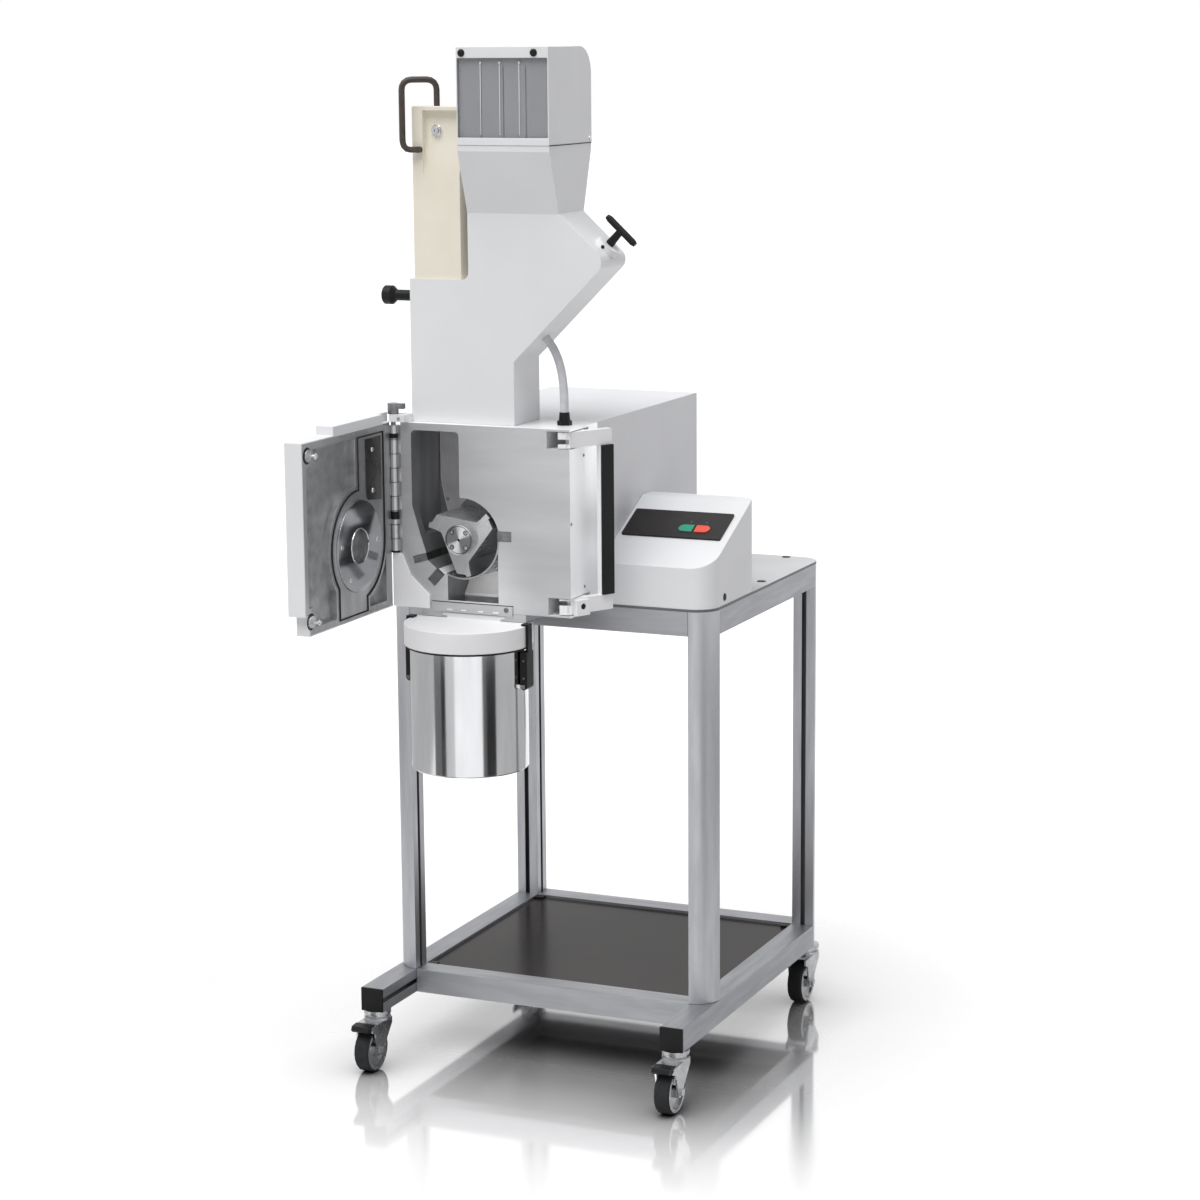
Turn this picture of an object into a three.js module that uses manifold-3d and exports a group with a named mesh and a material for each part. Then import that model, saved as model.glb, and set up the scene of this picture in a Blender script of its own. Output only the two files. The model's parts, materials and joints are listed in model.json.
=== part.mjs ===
// A floor standing laboratory cutting mill.
// Millimetres, X to the right, Y to the back, Z up.
// The mill is built from the middle of its stand, with y = 0 at the front of the feet and
// z = 0 on the floor, and is moved at the end so that its origin is under its middle.

import * as THREE from 'three';
import { mergeVertices } from 'three/addons/utils/BufferGeometryUtils.js';
import Module from 'manifold-3d';

const wasm = await Module();
wasm.setup();

// Clearances and counts
const GAP = 0.3;
const OVERRUN = 2;
const ROUND = 36;
const SMALL_ROUND = 16;
const CORNER_STEPS = 5;
const DEGREE = Math.PI / 180;

// Stand of aluminium profile
const STAND_WIDTH = 580;
const STAND_DEPTH = 660;
const STAND_TOP = 794;
const BAR = 40;
const POST_SETBACK = 125;
const FOOT_UNDERSIDE = 100;
const SLOT_MOUTH = 8;
const SLOT_LIP = 4.5;
const SLOT_WIDTH = 15;
const SLOT_DEPTH = 11;
const CAP_THICKNESS = 4;
const SHELF_THICKNESS = 4;
const SHELF_DROP = 5;

// Castors
const WHEEL_RADIUS = 37.5;
const WHEEL_WIDTH = 27;
const WHEEL_WEB = 16;
const HUB_RADIUS = 10;
const RIM_RADIUS = 29;
const TREAD_ROUNDING = 3;
const CASTOR_TRAIL = 26;
const FORK_INSIDE = 32;
const FORK_SHEET = 3;
const FORK_CROWN = 4;
const FORK_CROWN_HEIGHT = 80;
const FORK_FRONT = 53;
const FORK_REAR = 16;
const FORK_EAR = 10;
const RACE_RADIUS = 23;
const RACE_NECK_RADIUS = 19;
const RACE_BAND = 6;
const AXLE_RADIUS = 4;
const AXLE_EYE_RADIUS = 9;
const AXLE_HEAD_RADIUS = 6.5;
const AXLE_HEAD_HEIGHT = 5;
const PEDAL_PIVOT_REACH = 46;
const PEDAL_PIVOT_RADIUS = 2.5;
const PEDAL_LENGTH = 26;
const PEDAL_HEIGHT = 13;

// Base tray on the stand
const TRAY_TOP = 798;
const TRAY_CORNER = 40;

// Chamber block, measured from the axis of its bore
const BORE_OFFSET = 82.3;
const BORE_HEIGHT = 914.2;
const BORE_RADIUS = 66.3;
const BLOCK_OVERHANG = 12;
const BLOCK_DEPTH = 109;
const BLOCK_LEFT = 106.7;
const BLOCK_RIGHT = 189.3;
const BLOCK_RISE = 182.8;
const CHAMBER_DEPTH = 103;
const THROAT_LEFT = 88.2;
const THROAT_WIDTH = 84.8;
const THROAT_RISE = 171.3;
const FEED_SETBACK = 7;
const OUTLET_LEFT = 26.5;
const OUTLET_RIGHT = 63.3;
const OUTLET_SILL = 101.4;
const OUTLET_FRONT_WALL = 4;
const OUTLET_DEPTH = 62;
const OUTLET_SLOPE_FOOT = 99;
const OUTLET_SLOPE_TOP = 54;
const POCKET_WIDTH = 41;
const POCKET_SLANT = 3;
const POCKET_DEPTH = 74;
const UPPER_POCKET_BOTTOM = 1066;
const UPPER_POCKET_TOP = 1094;
const LOWER_POCKET_BOTTOM = 800.5;
const LOWER_POCKET_TOP = 829;

// Fixed cutters and sieve
const CUTTER_LENGTH = 24.6;
const CUTTER_WIDTH = 16;
const FEED_CUTTER_WIDTH = 12;
const CUTTER_REACH = 62;
const FEED_CUTTER_REACH = 70;
const LOW_CUTTER_REACH = 68.3;
const SIEVE_THICKNESS = 3;
const SIEVE_HOLE_RADIUS = 4.2;
const SIEVE_PITCH = 14;

// Rotor
const ROTOR_TIP_RADIUS = 61;
const ROTOR_HEEL_RADIUS = 57.5;
const ROTOR_ROOT_RADIUS = 38;
const ROTOR_FRONT_GAP = 1;
const ROTOR_BACK_GAP = 3;
const BLADE_LENGTH = 20;
const BLADE_THICKNESS = 9;
const BLADE_PROUD = 0.8;
const CAP_RADIUS = 24.5;
const CAP_HEIGHT = 12;
const CAP_RING_WIDTH = 2;
const CAP_RING_DEPTH = 1;
const CAP_SCREW_RADIUS = 4.2;
const CAP_SCREW_CIRCLE = 17;
const CAP_CENTRE_RADIUS = 2.2;
const SHAFT_RADIUS = 17.5;
const SHAFT_LENGTH = 80;

// Corner cover under the hinge
const COVER_LEFT = 122.7;
const COVER_TOP = 885;
const COVER_PROUD = 4;
const COVER_DEPTH = 60;
const COVER_SLANT = 9;

// Door, built closed in front of the block, from its hinge axis
const HINGE_LEFT = 200.8;
const HINGE_AHEAD = 13;
const DOOR_WIDTH = 294;
const DOOR_THICKNESS = 30;
const DOOR_FACE_AHEAD = 4.2;
const DOOR_BOTTOM = 830;
const DOOR_TOP = 1098;
const DOOR_FOOT_STEP = 12.3;
const DOOR_FOOT_THICKNESS = 23;
const DOOR_CREST_WIDTH = 193;
const DOOR_CREST_HEIGHT = 14;
const DOOR_EDGE = 1;
const DOOR_RIM = 2;
const CASTING_DEPTH = 17.5;
const CASTING_RELIEF = 10;
const CASTING_BORDER = 10;
const SEAL_MARGIN = 9;
const SEAL_RADIUS = 88;
const SEAL_NECK = 3;
const SEAL_OUTLET_LEFT = 26;
const SEAL_OUTLET_RIGHT = 66;
const SEAL_RISE = 171;
const SEAL_DROP = 110;
const STUD_EDGE = 17;
const UPPER_STUD_DROP = 20.3;
const LOWER_STUD_RISE = 22.7;
const STUD_COLLAR_RADIUS = 10;
const STUD_COLLAR_HEIGHT = 3;
const STUD_NECK_RADIUS = 3;
const STUD_NECK_LENGTH = 12;
const STUD_HEAD_RADIUS = 5.5;
const STUD_HEAD_HEIGHT = 2.4;
const PLATE_RADIUS = 73;
const PLATE_THICKNESS = 9;
const PLATE_PROUD = 3;
const PLATE_BORE_RADIUS = 28;
const PLATE_BORE_DEPTH = 14;

// Hinge barrel, bracket and pin
const BARREL_RADIUS = 6.5;
const BARREL_TOP = 1092;
const BARREL_BOTTOM = 885.6;
const KNUCKLES = 9;
const LEAF_THICKNESS = 5;
const PIN_RADIUS = 3.9;
const BRACKET_WIDTH = 28;
const BRACKET_TOP = 1110;
const BRACKET_FRONT = 11;
const BRACKET_BACK = 18;
const KNOB_RADIUS = 9;
const KNOB_HEIGHT = 17;
const KNOB_WING = 20;
const KNOB_WING_WIDTH = 9;

// Closing yoke, built from its pivot axis
const PIVOT_RIGHT = 89;
const PIVOT_BEHIND = 42;
const PIVOT_PIN_RADIUS = 5;
const PIVOT_PIN_LENGTH = 16;
const YOKE_REST_ANGLE = -28;
const YOKE_HOOK_ANGLE = -45;
const ARM_OUTSIDE = 34.6;
const ARM_THICKNESS = 13;
const ARM_FRONT = 41.5;
const ARM_LENGTH = 92.5;
const ARM_HEIGHT = 25;
const UPPER_ARM_BOTTOM = 1067.5;
const LOWER_ARM_BOTTOM = 802.5;
const LUG_RADIUS = 9;
const LUG_WEB = 14;
const PRONG_TIP = 17.5;
const PRONG_FRONT = 51;
const PRONG_THICKNESS = 6;
const PRONG_SLOT_LENGTH = 18;
const PRONG_SLOT_WIDTH = 8;
const GRIP_WIDTH = 23;
const GRIP_THICKNESS = 5;
const YOKE_POST_THICKNESS = 10;
const CATCH_WIDTH = 26;
const CATCH_THICKNESS = 9;
const CATCH_PLUG_RADIUS = 5;

// Motor housing
const HOUSING_LEFT = 178;
const HOUSING_RIGHT = 96;
const HOUSING_TOP = 1094;
const HOUSING_BACK = 552;
const HOUSING_WALL = 2;
const HOUSING_SHAFT_HOLE = 30;
const VENT_COUNT = 7;
const VENT_LENGTH = 150;
const VENT_HEIGHT = 6;
const VENT_PITCH = 16;
const VENT_RISE = 960;

// Gear motor inside the housing
const GEARBOX_WIDTH = 150;
const GEARBOX_DEPTH = 110;
const GEARBOX_GAP = 12;
const GEARBOX_RISE = 80;
const MOTOR_RADIUS = 72;
const MOTOR_LENGTH = 210;
const MOTOR_BOSS_RADIUS = 34;
const FOOT_WIDTH = 180;
const FOOT_THICKNESS = 10;

// Mains inlet gland at the back
const INLET_RADIUS = 9;
const INLET_NUT_RADIUS = 13;
const INLET_NUT = 8;
const INLET_LENGTH = 22;
const INLET_RIGHT = 55;
const INLET_RISE = 36.7;

// Control housing
const CONTROL_LEFT = 96.3;
const CONTROL_DEPTH = 215;
const CONTROL_FRONT_TOP = 865;
const CONTROL_TOP = 951;
const CONTROL_SLOPE = 25.27;
const CONTROL_WALL = 3;
const CONTROL_CORNER = 38;
const PANEL_LEFT = 104;
const PANEL_RIGHT = 277;
const PANEL_FRONT = 198;
const PANEL_BACK = 265;
const PANEL_THICKNESS = 3;
const PANEL_CORNER = 3;
const BUTTON_WIDTH = 25;
const BUTTON_DEPTH = 18.8;
const BUTTON_FRONT = 15.5;
const START_OFFSET = 26;
const STOP_OFFSET = 57.5;
const BUTTON_PROUD = 1.5;
const BUTTON_TRAVEL = 1.2;

// Hopper
const HOPPER_FRONT = 5;
const HOPPER_DEPTH = 96;
const HOPPER_LEFT = 176;
const HOPPER_WALL = 2;
const DUCT_TOP = 1325;
const DUCT_CORNER = 12;
const CHUTE_LEFT = 72.5;
const CHUTE_RIGHT = 84.6;
const SHOULDER_HEIGHT = 1431;
const APEX_RIGHT = 164;
const APEX_HEIGHT = 1357.5;
const APEX_CORNER = 18;
const NECK_RIGHT = 4.5;
const NECK_HEIGHT = 1198.6;
const TAPER_BOTTOM = 1430;
const TAPER_TOP = 1527;
const BAND_TOP = 1536;
const BAND_FRONT = 27;
const BAND_BACK = 132;
const HOOD_TOP = 1686;
const HOOD_FRONT = 28;
const HOOD_BACK = 134.5;
const HOOD_CORNER = 42;
const HOOD_LIP = 17;
const HOOD_SILL = 12;
const CURTAIN_SETBACK = 5;
const CURTAIN_THICKNESS = 1.5;
const CURTAIN_STRIPS = 4;
const CURTAIN_SLIT = 1.2;
const CURTAIN_HEM = 10;
const BOSS_RADIUS = 21;
const BOSS_HEIGHT = 10;
const HANDLE_STATION = 80.4;
const HANDLE_BEHIND = 53;
const HANDLE_SHANK_RADIUS = 7;
const HANDLE_SHANK_LENGTH = 33;
const HANDLE_BAR_LENGTH = 64;
const HANDLE_BAR_RADIUS = 5.5;
const CLAMP_PIN_RADIUS = 4;

// Plunger
const PLUNGER_LEFT = 168.5;
const PLUNGER_WIDTH = 82.5;
const PLUNGER_FRONT = 7.3;
const PLUNGER_DEPTH = 76;
const PLUNGER_TOP = 1595;
const PLUNGER_BOTTOM = 1200;
const RECESS_LEFT = 19;
const RECESS_DEPTH = 11;
const RECESS_DROP = 7;
const RECESS_FLOOR = 52;
const RECESS_FOOT = 110;
const PLUNGER_BOLT_RADIUS = 9;
const PLUNGER_BOLT_HEIGHT = 3;
const PLUNGER_BOLT_LEFT = 39.2;
const PLUNGER_BOLT_DROP = 37.6;
const BAIL_RADIUS = 5;
const BAIL_RISE = 41.3;
const BAIL_DROP = 67.3;
const BAIL_BEND = 17;
const BAIL_TOP_LEFT = 39.5;
const BAIL_TOP_BEHIND = 10.7;
const BAIL_OUT_LEFT = 7.5;
const BAIL_OUT_AHEAD = 17.9;
const BAIL_FOOT_LEFT = 13.9;

// Indexing knob of the plunger
const INDEX_BEHIND = 35;
const INDEX_HEIGHT = 1295.5;
const INDEX_HEAD_RADIUS = 15.2;
const INDEX_HEAD_LENGTH = 22;
const INDEX_SHANK_RADIUS = 8.8;
const INDEX_SHANK_LENGTH = 38;
const INDEX_PIN_RADIUS = 4;

// Conduit from the hopper to the block
const CONDUIT_RADIUS = 6.75;
const CONDUIT_START_RIGHT = 40;
const CONDUIT_START_BEHIND = 50;
const CONDUIT_BOW = 42;
const GLAND_RIGHT = 73;
const GLAND_BEHIND = 46;
const GLAND_RADIUS = 10;
const GLAND_HEIGHT = 20;
const GLAND_NUT = 7;

// Collector under the outlet
const COLLECTOR_LEFT = 64;
const COLLECTOR_AHEAD = 30;
const LID_RADIUS = 103.5;
const LID_TOP = 785;
const LID_BOTTOM = 751;
const LID_RECESS = 14;
const JAR_RADIUS = 94.5;
const JAR_BOTTOM = 550;
const JAR_WALL = 2;
const DUCT_WIDTH = 84;
const DUCT_NECK_WALL = 5;
const FLANGE_WIDTH = 8;
const FLANGE_THICKNESS = 6;
const FLANGE_RISE = 2.5;
const RAIL_WIDTH = 45;
const RAIL_LIP = 1.6;
const RAIL_LENGTH = 100;
const FLAP_LEFT = 136;
const FLAP_RIGHT = 6;
const FLAP_BOTTOM = 794.4;
const FLAP_TOP = 810;
const FLAP_THICKNESS = 2;
const CLIP_WIDTH = 25;
const CLIP_THICKNESS = 12;
const CLIP_PIVOT_HEIGHT = 689;
const CLIP_PIVOT_REACH = 7;
const CLIP_EYE_RADIUS = 6;
const CLIP_PIN_RADIUS = 2.2;
const CLIP_BODY_TOP = 744;
const CLIP_ARM_WIDTH = 15;
const CLIP_ARM_THICKNESS = 4;
const CLIP_HOOK = 8;
const CLIP_HOOK_HEIGHT = 3;
const CLIP_EAR_THICKNESS = 3;

// Places that follow from the sizes above
const HALF_WIDTH = STAND_WIDTH / 2;
const POST_X = HALF_WIDTH - BAR;
const FOOT_TOP = FOOT_UNDERSIDE + BAR;
const BLOCK_FRONT = -BLOCK_OVERHANG;
const BLOCK_BACK = BLOCK_FRONT + BLOCK_DEPTH;
const CHAMBER_BACK = BLOCK_FRONT + CHAMBER_DEPTH;
const SEAT = TRAY_TOP + GAP;
const DOOR_FOOT_WIDTH = DOOR_WIDTH - DOOR_FOOT_STEP;
const STUD_REACH = DOOR_WIDTH - STUD_EDGE;
const UPPER_STUD_HEIGHT = DOOR_TOP - UPPER_STUD_DROP;
const LOWER_STUD_HEIGHT = SEAT + LOWER_STUD_RISE;
const INLET_HEIGHT = SEAT + INLET_RISE;
const BLOCK_TOP = BORE_HEIGHT + BLOCK_RISE;
const BLOCK_LEFT_X = -BORE_OFFSET - BLOCK_LEFT;
const BLOCK_RIGHT_X = -BORE_OFFSET + BLOCK_RIGHT;
const THROAT_LEFT_X = -BORE_OFFSET - THROAT_LEFT;
const THROAT_RIGHT_X = THROAT_LEFT_X + THROAT_WIDTH;
const DOOR_BACK = -DOOR_FACE_AHEAD - DOOR_THICKNESS;
const BORE_FROM_HINGE = HINGE_LEFT - BORE_OFFSET;

// Solids from plain geometry

function solidOf(geometry) {
  const bare = geometry.clone();
  bare.deleteAttribute('normal');
  bare.deleteAttribute('uv');
  const merged = mergeVertices(bare, 1e-4);
  const triangles = [];
  const index = merged.index.array;
  for (let i = 0; i < index.length; i += 3) {
    const [a, b, c] = [index[i], index[i + 1], index[i + 2]];
    if (a !== b && b !== c && c !== a) triangles.push(a, b, c);
  }
  const mesh = new wasm.Mesh({
    numProp: 3,
    vertProperties: new Float32Array(merged.attributes.position.array),
    triVerts: new Uint32Array(triangles),
  });
  return new wasm.Manifold(mesh);
}

function geometryOf(solid) {
  const mesh = solid.getMesh();
  const geometry = new THREE.BufferGeometry();
  geometry.setAttribute('position', new THREE.BufferAttribute(new Float32Array(mesh.vertProperties), 3));
  geometry.setIndex(new THREE.BufferAttribute(new Uint32Array(mesh.triVerts), 1));
  geometry.computeVertexNormals();
  return geometry;
}

function box(low, high) {
  const size = high.map((value, i) => value - low[i]);
  const geometry = new THREE.BoxGeometry(...size);
  geometry.translate(...high.map((value, i) => (value + low[i]) / 2));
  return solidOf(geometry);
}

// A cylinder or cone that starts at a point and runs along an axis
function rod(axis, start, length, radius, sides = ROUND, endRadius = radius) {
  const geometry = new THREE.CylinderGeometry(endRadius, radius, length, sides);
  geometry.translate(0, length / 2, 0);
  if (axis === 'x') geometry.rotateZ(-Math.PI / 2);
  if (axis === 'z') geometry.rotateX(Math.PI / 2);
  geometry.translate(...start);
  return solidOf(geometry);
}

// A profile of [distance from the axis, height] pairs turned round an axis
function turned(axis, centre, profile, sides = ROUND) {
  const points = profile.map(([radius, height]) => new THREE.Vector2(radius, height));
  if (THREE.ShapeUtils.isClockWise(points)) points.reverse();
  const closed = points.some((point) => point.x === 0) ? points : [...points, points[0].clone()];
  const geometry = new THREE.LatheGeometry(closed, sides);
  if (axis === 'x') geometry.rotateZ(-Math.PI / 2);
  if (axis === 'z') geometry.rotateX(Math.PI / 2);
  geometry.translate(...centre);
  return solidOf(geometry);
}

// An outline pushed along an axis: (x, z) along y, (y, z) along x, or (x, y) along z
function prism(axis, outline, from, to) {
  const points = outline.map((point) => new THREE.Vector2(...point));
  const geometry = new THREE.ExtrudeGeometry(new THREE.Shape(points), {
    depth: to - from,
    bevelEnabled: false,
  });
  const x = new THREE.Vector3(1, 0, 0);
  const y = new THREE.Vector3(0, 1, 0);
  const z = new THREE.Vector3(0, 0, 1);
  const turn = new THREE.Matrix4();
  if (axis === 'x') turn.makeBasis(y, z, x);
  if (axis === 'y') turn.makeBasis(x, z, y.clone().negate());
  geometry.applyMatrix4(turn);
  if (axis === 'x') geometry.translate(from, 0, 0);
  if (axis === 'y') geometry.translate(0, to, 0);
  if (axis === 'z') geometry.translate(0, 0, from);
  return solidOf(geometry);
}

// A round section swept along a curve
function tube(curve, radius, sides, steps) {
  const section = circle(0, 0, radius, sides).map((point) => new THREE.Vector2(...point));
  const geometry = new THREE.ExtrudeGeometry(new THREE.Shape(section), { extrudePath: curve, steps });
  return solidOf(geometry);
}

function join(...solids) {
  return solids.reduce((whole, solid) => whole.add(solid));
}

function cut(solid, ...tools) {
  return tools.reduce((rest, tool) => rest.subtract(tool), solid);
}

function moved(solid, x, y, z) {
  return solid.translate([x, y, z]);
}

// Outlines

function rectangle(left, bottom, right, top) {
  return [[left, bottom], [right, bottom], [right, top], [left, top]];
}

function arc(cx, cy, radius, from, to, steps) {
  const points = [];
  for (let i = 0; i <= steps; i += 1) {
    const angle = (from + ((to - from) * i) / steps) * DEGREE;
    points.push([cx + radius * Math.cos(angle), cy + radius * Math.sin(angle)]);
  }
  return points;
}

function circle(cx, cy, radius, sides = ROUND) {
  return arc(cx, cy, radius, 0, 360, sides).slice(0, sides);
}

// Corners given as [x, y, radius], with an arc where there is a radius
function rounded(corners, steps = CORNER_STEPS) {
  const points = [];
  corners.forEach((corner, i) => {
    const [x, y, radius] = corner;
    if (!radius) {
      points.push([x, y]);
      return;
    }
    const here = new THREE.Vector2(x, y);
    const before = corners[(i + corners.length - 1) % corners.length];
    const after = corners[(i + 1) % corners.length];
    const back = new THREE.Vector2(before[0] - x, before[1] - y).normalize();
    const ahead = new THREE.Vector2(after[0] - x, after[1] - y).normalize();
    const half = Math.acos(back.dot(ahead)) / 2;
    const middle = back.clone().add(ahead).normalize();
    const centre = here.clone().addScaledVector(middle, radius / Math.sin(half));
    const start = back.clone().multiplyScalar(radius / Math.tan(half)).add(here).sub(centre);
    const end = ahead.clone().multiplyScalar(radius / Math.tan(half)).add(here).sub(centre);
    const sweep = Math.atan2(start.cross(end), start.dot(end));
    for (let k = 0; k <= steps; k += 1) {
      const spoke = start.clone().rotateAround(new THREE.Vector2(), (sweep * k) / steps);
      points.push([centre.x + spoke.x, centre.y + spoke.y]);
    }
  });
  return points;
}

// The same corners moved inwards by a distance, with mitred joints
function inset(corners, distance) {
  const points = corners.map(([x, y]) => new THREE.Vector2(x, y));
  const side = THREE.ShapeUtils.isClockWise(points) ? -distance : distance;
  return corners.map(([x, y, radius = 0], i) => {
    const before = points[(i + points.length - 1) % points.length];
    const after = points[(i + 1) % points.length];
    const first = new THREE.Vector2(x, y).sub(before).normalize();
    const second = after.clone().sub(points[i]).normalize();
    const normal = new THREE.Vector2(-first.y - second.y, first.x + second.x).normalize();
    const reach = side / normal.dot(new THREE.Vector2(-first.y, first.x));
    const convex = Math.sign(first.cross(second)) === Math.sign(side);
    const corner = convex ? Math.max(radius - distance, 0) : radius + distance;
    return [x + normal.x * reach, y + normal.y * reach, radius ? corner : 0];
  });
}

function scaled(shares, width, height) {
  return shares.map(([u, v]) => [u * width, v * height]);
}

// Materials

function material(color, roughness, metalness) {
  return new THREE.MeshStandardMaterial({ color, roughness, metalness });
}

const whitePaint = () => material(0xe9eaec, 0.35, 0);
const greyPaint = () => material(0xc9cacd, 0.4, 0);
const anodised = () => material(0xa9abb0, 0.4, 0.9);
const castMetal = () => material(0x9b9da0, 0.45, 0.9);
const brightSteel = () => material(0xc4c6c8, 0.22, 1);
const darkSteel = () => material(0x5c5e60, 0.35, 1);
const zincSteel = () => material(0xb4b6b8, 0.3, 1);
const blackPlastic = () => material(0x1d1d1e, 0.45, 0);
const shelfBoard = () => material(0x2c2b2b, 0.3, 0);
const greyRubber = () => material(0x6d6e70, 0.8, 0);
const ivoryPlastic = () => material(0xe9e3d3, 0.5, 0);
const brownCoat = () => material(0x4a423d, 0.5, 0);
const clearStrip = () => material(0xb9bbc0, 0.2, 0);
const whitePlastic = () => material(0xeeeeef, 0.45, 0);
const greenButton = () => material(0x169c7c, 0.4, 0);
const redButton = () => material(0xd94f35, 0.4, 0);

function piece(name, solid, finish) {
  const mesh = new THREE.Mesh(geometryOf(solid), finish());
  mesh.name = name;
  return mesh;
}

function group(x, y, z, ...children) {
  const holder = new THREE.Group();
  holder.position.set(x, y, z);
  if (children.length) holder.add(...children);
  return holder;
}

// Stand

// One T slot in the flat side that lies along the first axis, seen in section
function slotOutline() {
  const middle = BAR / 2;
  const undercut = SLOT_WIDTH / 2;
  const mouth = SLOT_MOUTH / 2;
  return [
    [middle - mouth, 0],
    [middle - mouth, SLOT_LIP],
    [middle - undercut, SLOT_LIP],
    [middle - undercut, SLOT_DEPTH],
    [middle + undercut, SLOT_DEPTH],
    [middle + undercut, SLOT_LIP],
    [middle + mouth, SLOT_LIP],
    [middle + mouth, 0],
  ];
}

// A quarter round profile with its inner corner at the middle of the mesh and a slot in each flat
function post(name, side, front, bottom) {
  const slot = slotOutline();
  const outline = [
    [0, 0],
    ...slot,
    ...arc(0, 0, BAR, 0, 90, 2 * CORNER_STEPS),
    ...slot.map(([u, v]) => [v, u]).reverse(),
  ].map(([u, v]) => [side * u, (front ? -1 : 1) * v]);
  const mesh = piece(name, prism('z', outline, 0, STAND_TOP - bottom), anodised);
  const y = front ? POST_SETBACK + BAR : STAND_DEPTH - BAR;
  mesh.position.set(side * POST_X, y, bottom);
  return mesh;
}

// A square profile along X with one slot, facing the middle of the stand once it is turned
function rail(name, length, x, y, z, quarterTurns) {
  const slot = slotOutline().map(([u, v]) => [BAR / 2 - v, u]);
  const outline = [[-BAR / 2, 0], [BAR / 2, 0], ...slot, [BAR / 2, BAR], [-BAR / 2, BAR]];
  const mesh = piece(name, prism('x', outline, -length / 2, length / 2), anodised);
  mesh.position.set(x, y, z);
  mesh.rotation.z = quarterTurns * 90 * DEGREE;
  return mesh;
}

function stand() {
  const holder = new THREE.Group();
  const crossLength = 2 * (POST_X - GAP);
  const frontY = POST_SETBACK + BAR / 2;
  const rearY = STAND_DEPTH - BAR / 2;
  const topZ = STAND_TOP - BAR;
  const footStart = CAP_THICKNESS + GAP;
  const footEnd = STAND_DEPTH - BAR - GAP;
  const sideStart = POST_SETBACK + BAR + GAP;
  for (const [side, label, turns] of [[-1, 'left', -1], [1, 'right', 1]]) {
    const x = side * (HALF_WIDTH - BAR / 2);
    holder.add(post(`post_front_${label}`, side, true, FOOT_TOP + GAP));
    holder.add(post(`post_rear_${label}`, side, false, FOOT_UNDERSIDE));
    const footMiddle = (footStart + footEnd) / 2;
    holder.add(rail(`foot_rail_${label}`, footEnd - footStart, x, footMiddle, FOOT_UNDERSIDE, turns));
    holder.add(rail(`top_rail_${label}`, footEnd - sideStart, x, (sideStart + footEnd) / 2, topZ, turns));
    holder.add(endCap(`end_cap_${label}`, x));
  }
  holder.add(rail('foot_rail_front', crossLength, 0, frontY, FOOT_UNDERSIDE, 0));
  holder.add(rail('foot_rail_rear', crossLength, 0, rearY, FOOT_UNDERSIDE, 2));
  holder.add(rail('top_rail_front', crossLength, 0, frontY, topZ, 0));
  holder.add(rail('top_rail_rear', crossLength, 0, rearY, topZ, 2));
  holder.add(shelf());
  return holder;
}

function endCap(name, x) {
  const low = [x - BAR / 2, 0, FOOT_UNDERSIDE];
  return piece(name, box(low, [x + BAR / 2, CAP_THICKNESS, FOOT_TOP]), blackPlastic);
}

function shelf() {
  const top = FOOT_TOP - SHELF_DROP;
  const halfWidth = POST_X - GAP;
  const front = POST_SETBACK + BAR + GAP;
  const back = STAND_DEPTH - BAR - GAP;
  const board = box([-halfWidth, front, top - SHELF_THICKNESS], [halfWidth, back, top]);
  return piece('shelf_panel', board, shelfBoard);
}

// Castors, built from the swivel axis at floor level with the wheel trailing to the front

function castorWheel(name) {
  const bore = AXLE_RADIUS + GAP;
  const hub = FORK_INSIDE / 2 - GAP;
  const web = WHEEL_WEB / 2;
  const tread = WHEEL_WIDTH / 2;
  const profile = [
    [bore, -hub],
    [HUB_RADIUS, -hub],
    [HUB_RADIUS, -web],
    [RIM_RADIUS, -web],
    [RIM_RADIUS, -tread],
    [WHEEL_RADIUS - TREAD_ROUNDING, -tread],
    [WHEEL_RADIUS, -tread + TREAD_ROUNDING],
    [WHEEL_RADIUS, tread - TREAD_ROUNDING],
    [WHEEL_RADIUS - TREAD_ROUNDING, tread],
    [RIM_RADIUS, tread],
    [RIM_RADIUS, web],
    [HUB_RADIUS, web],
    [HUB_RADIUS, hub],
    [bore, hub],
  ];
  const mesh = piece(name, turned('x', [0, 0, 0], profile, 20), greyRubber);
  mesh.position.set(0, -CASTOR_TRAIL, WHEEL_RADIUS);
  return mesh;
}

function forkLeg(from) {
  const top = FORK_CROWN_HEIGHT + FORK_CROWN;
  const outline = [
    [FORK_REAR, top],
    [-FORK_FRONT, top],
    [-FORK_FRONT, top - FORK_EAR],
    [-PEDAL_PIVOT_REACH + PEDAL_PIVOT_RADIUS, top - FORK_EAR - FORK_CROWN],
    ...arc(-CASTOR_TRAIL, WHEEL_RADIUS, AXLE_EYE_RADIUS, 190, 350, 8),
    [FORK_REAR, top - FORK_EAR],
  ];
  return prism('x', outline, from, from + FORK_SHEET);
}

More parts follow.
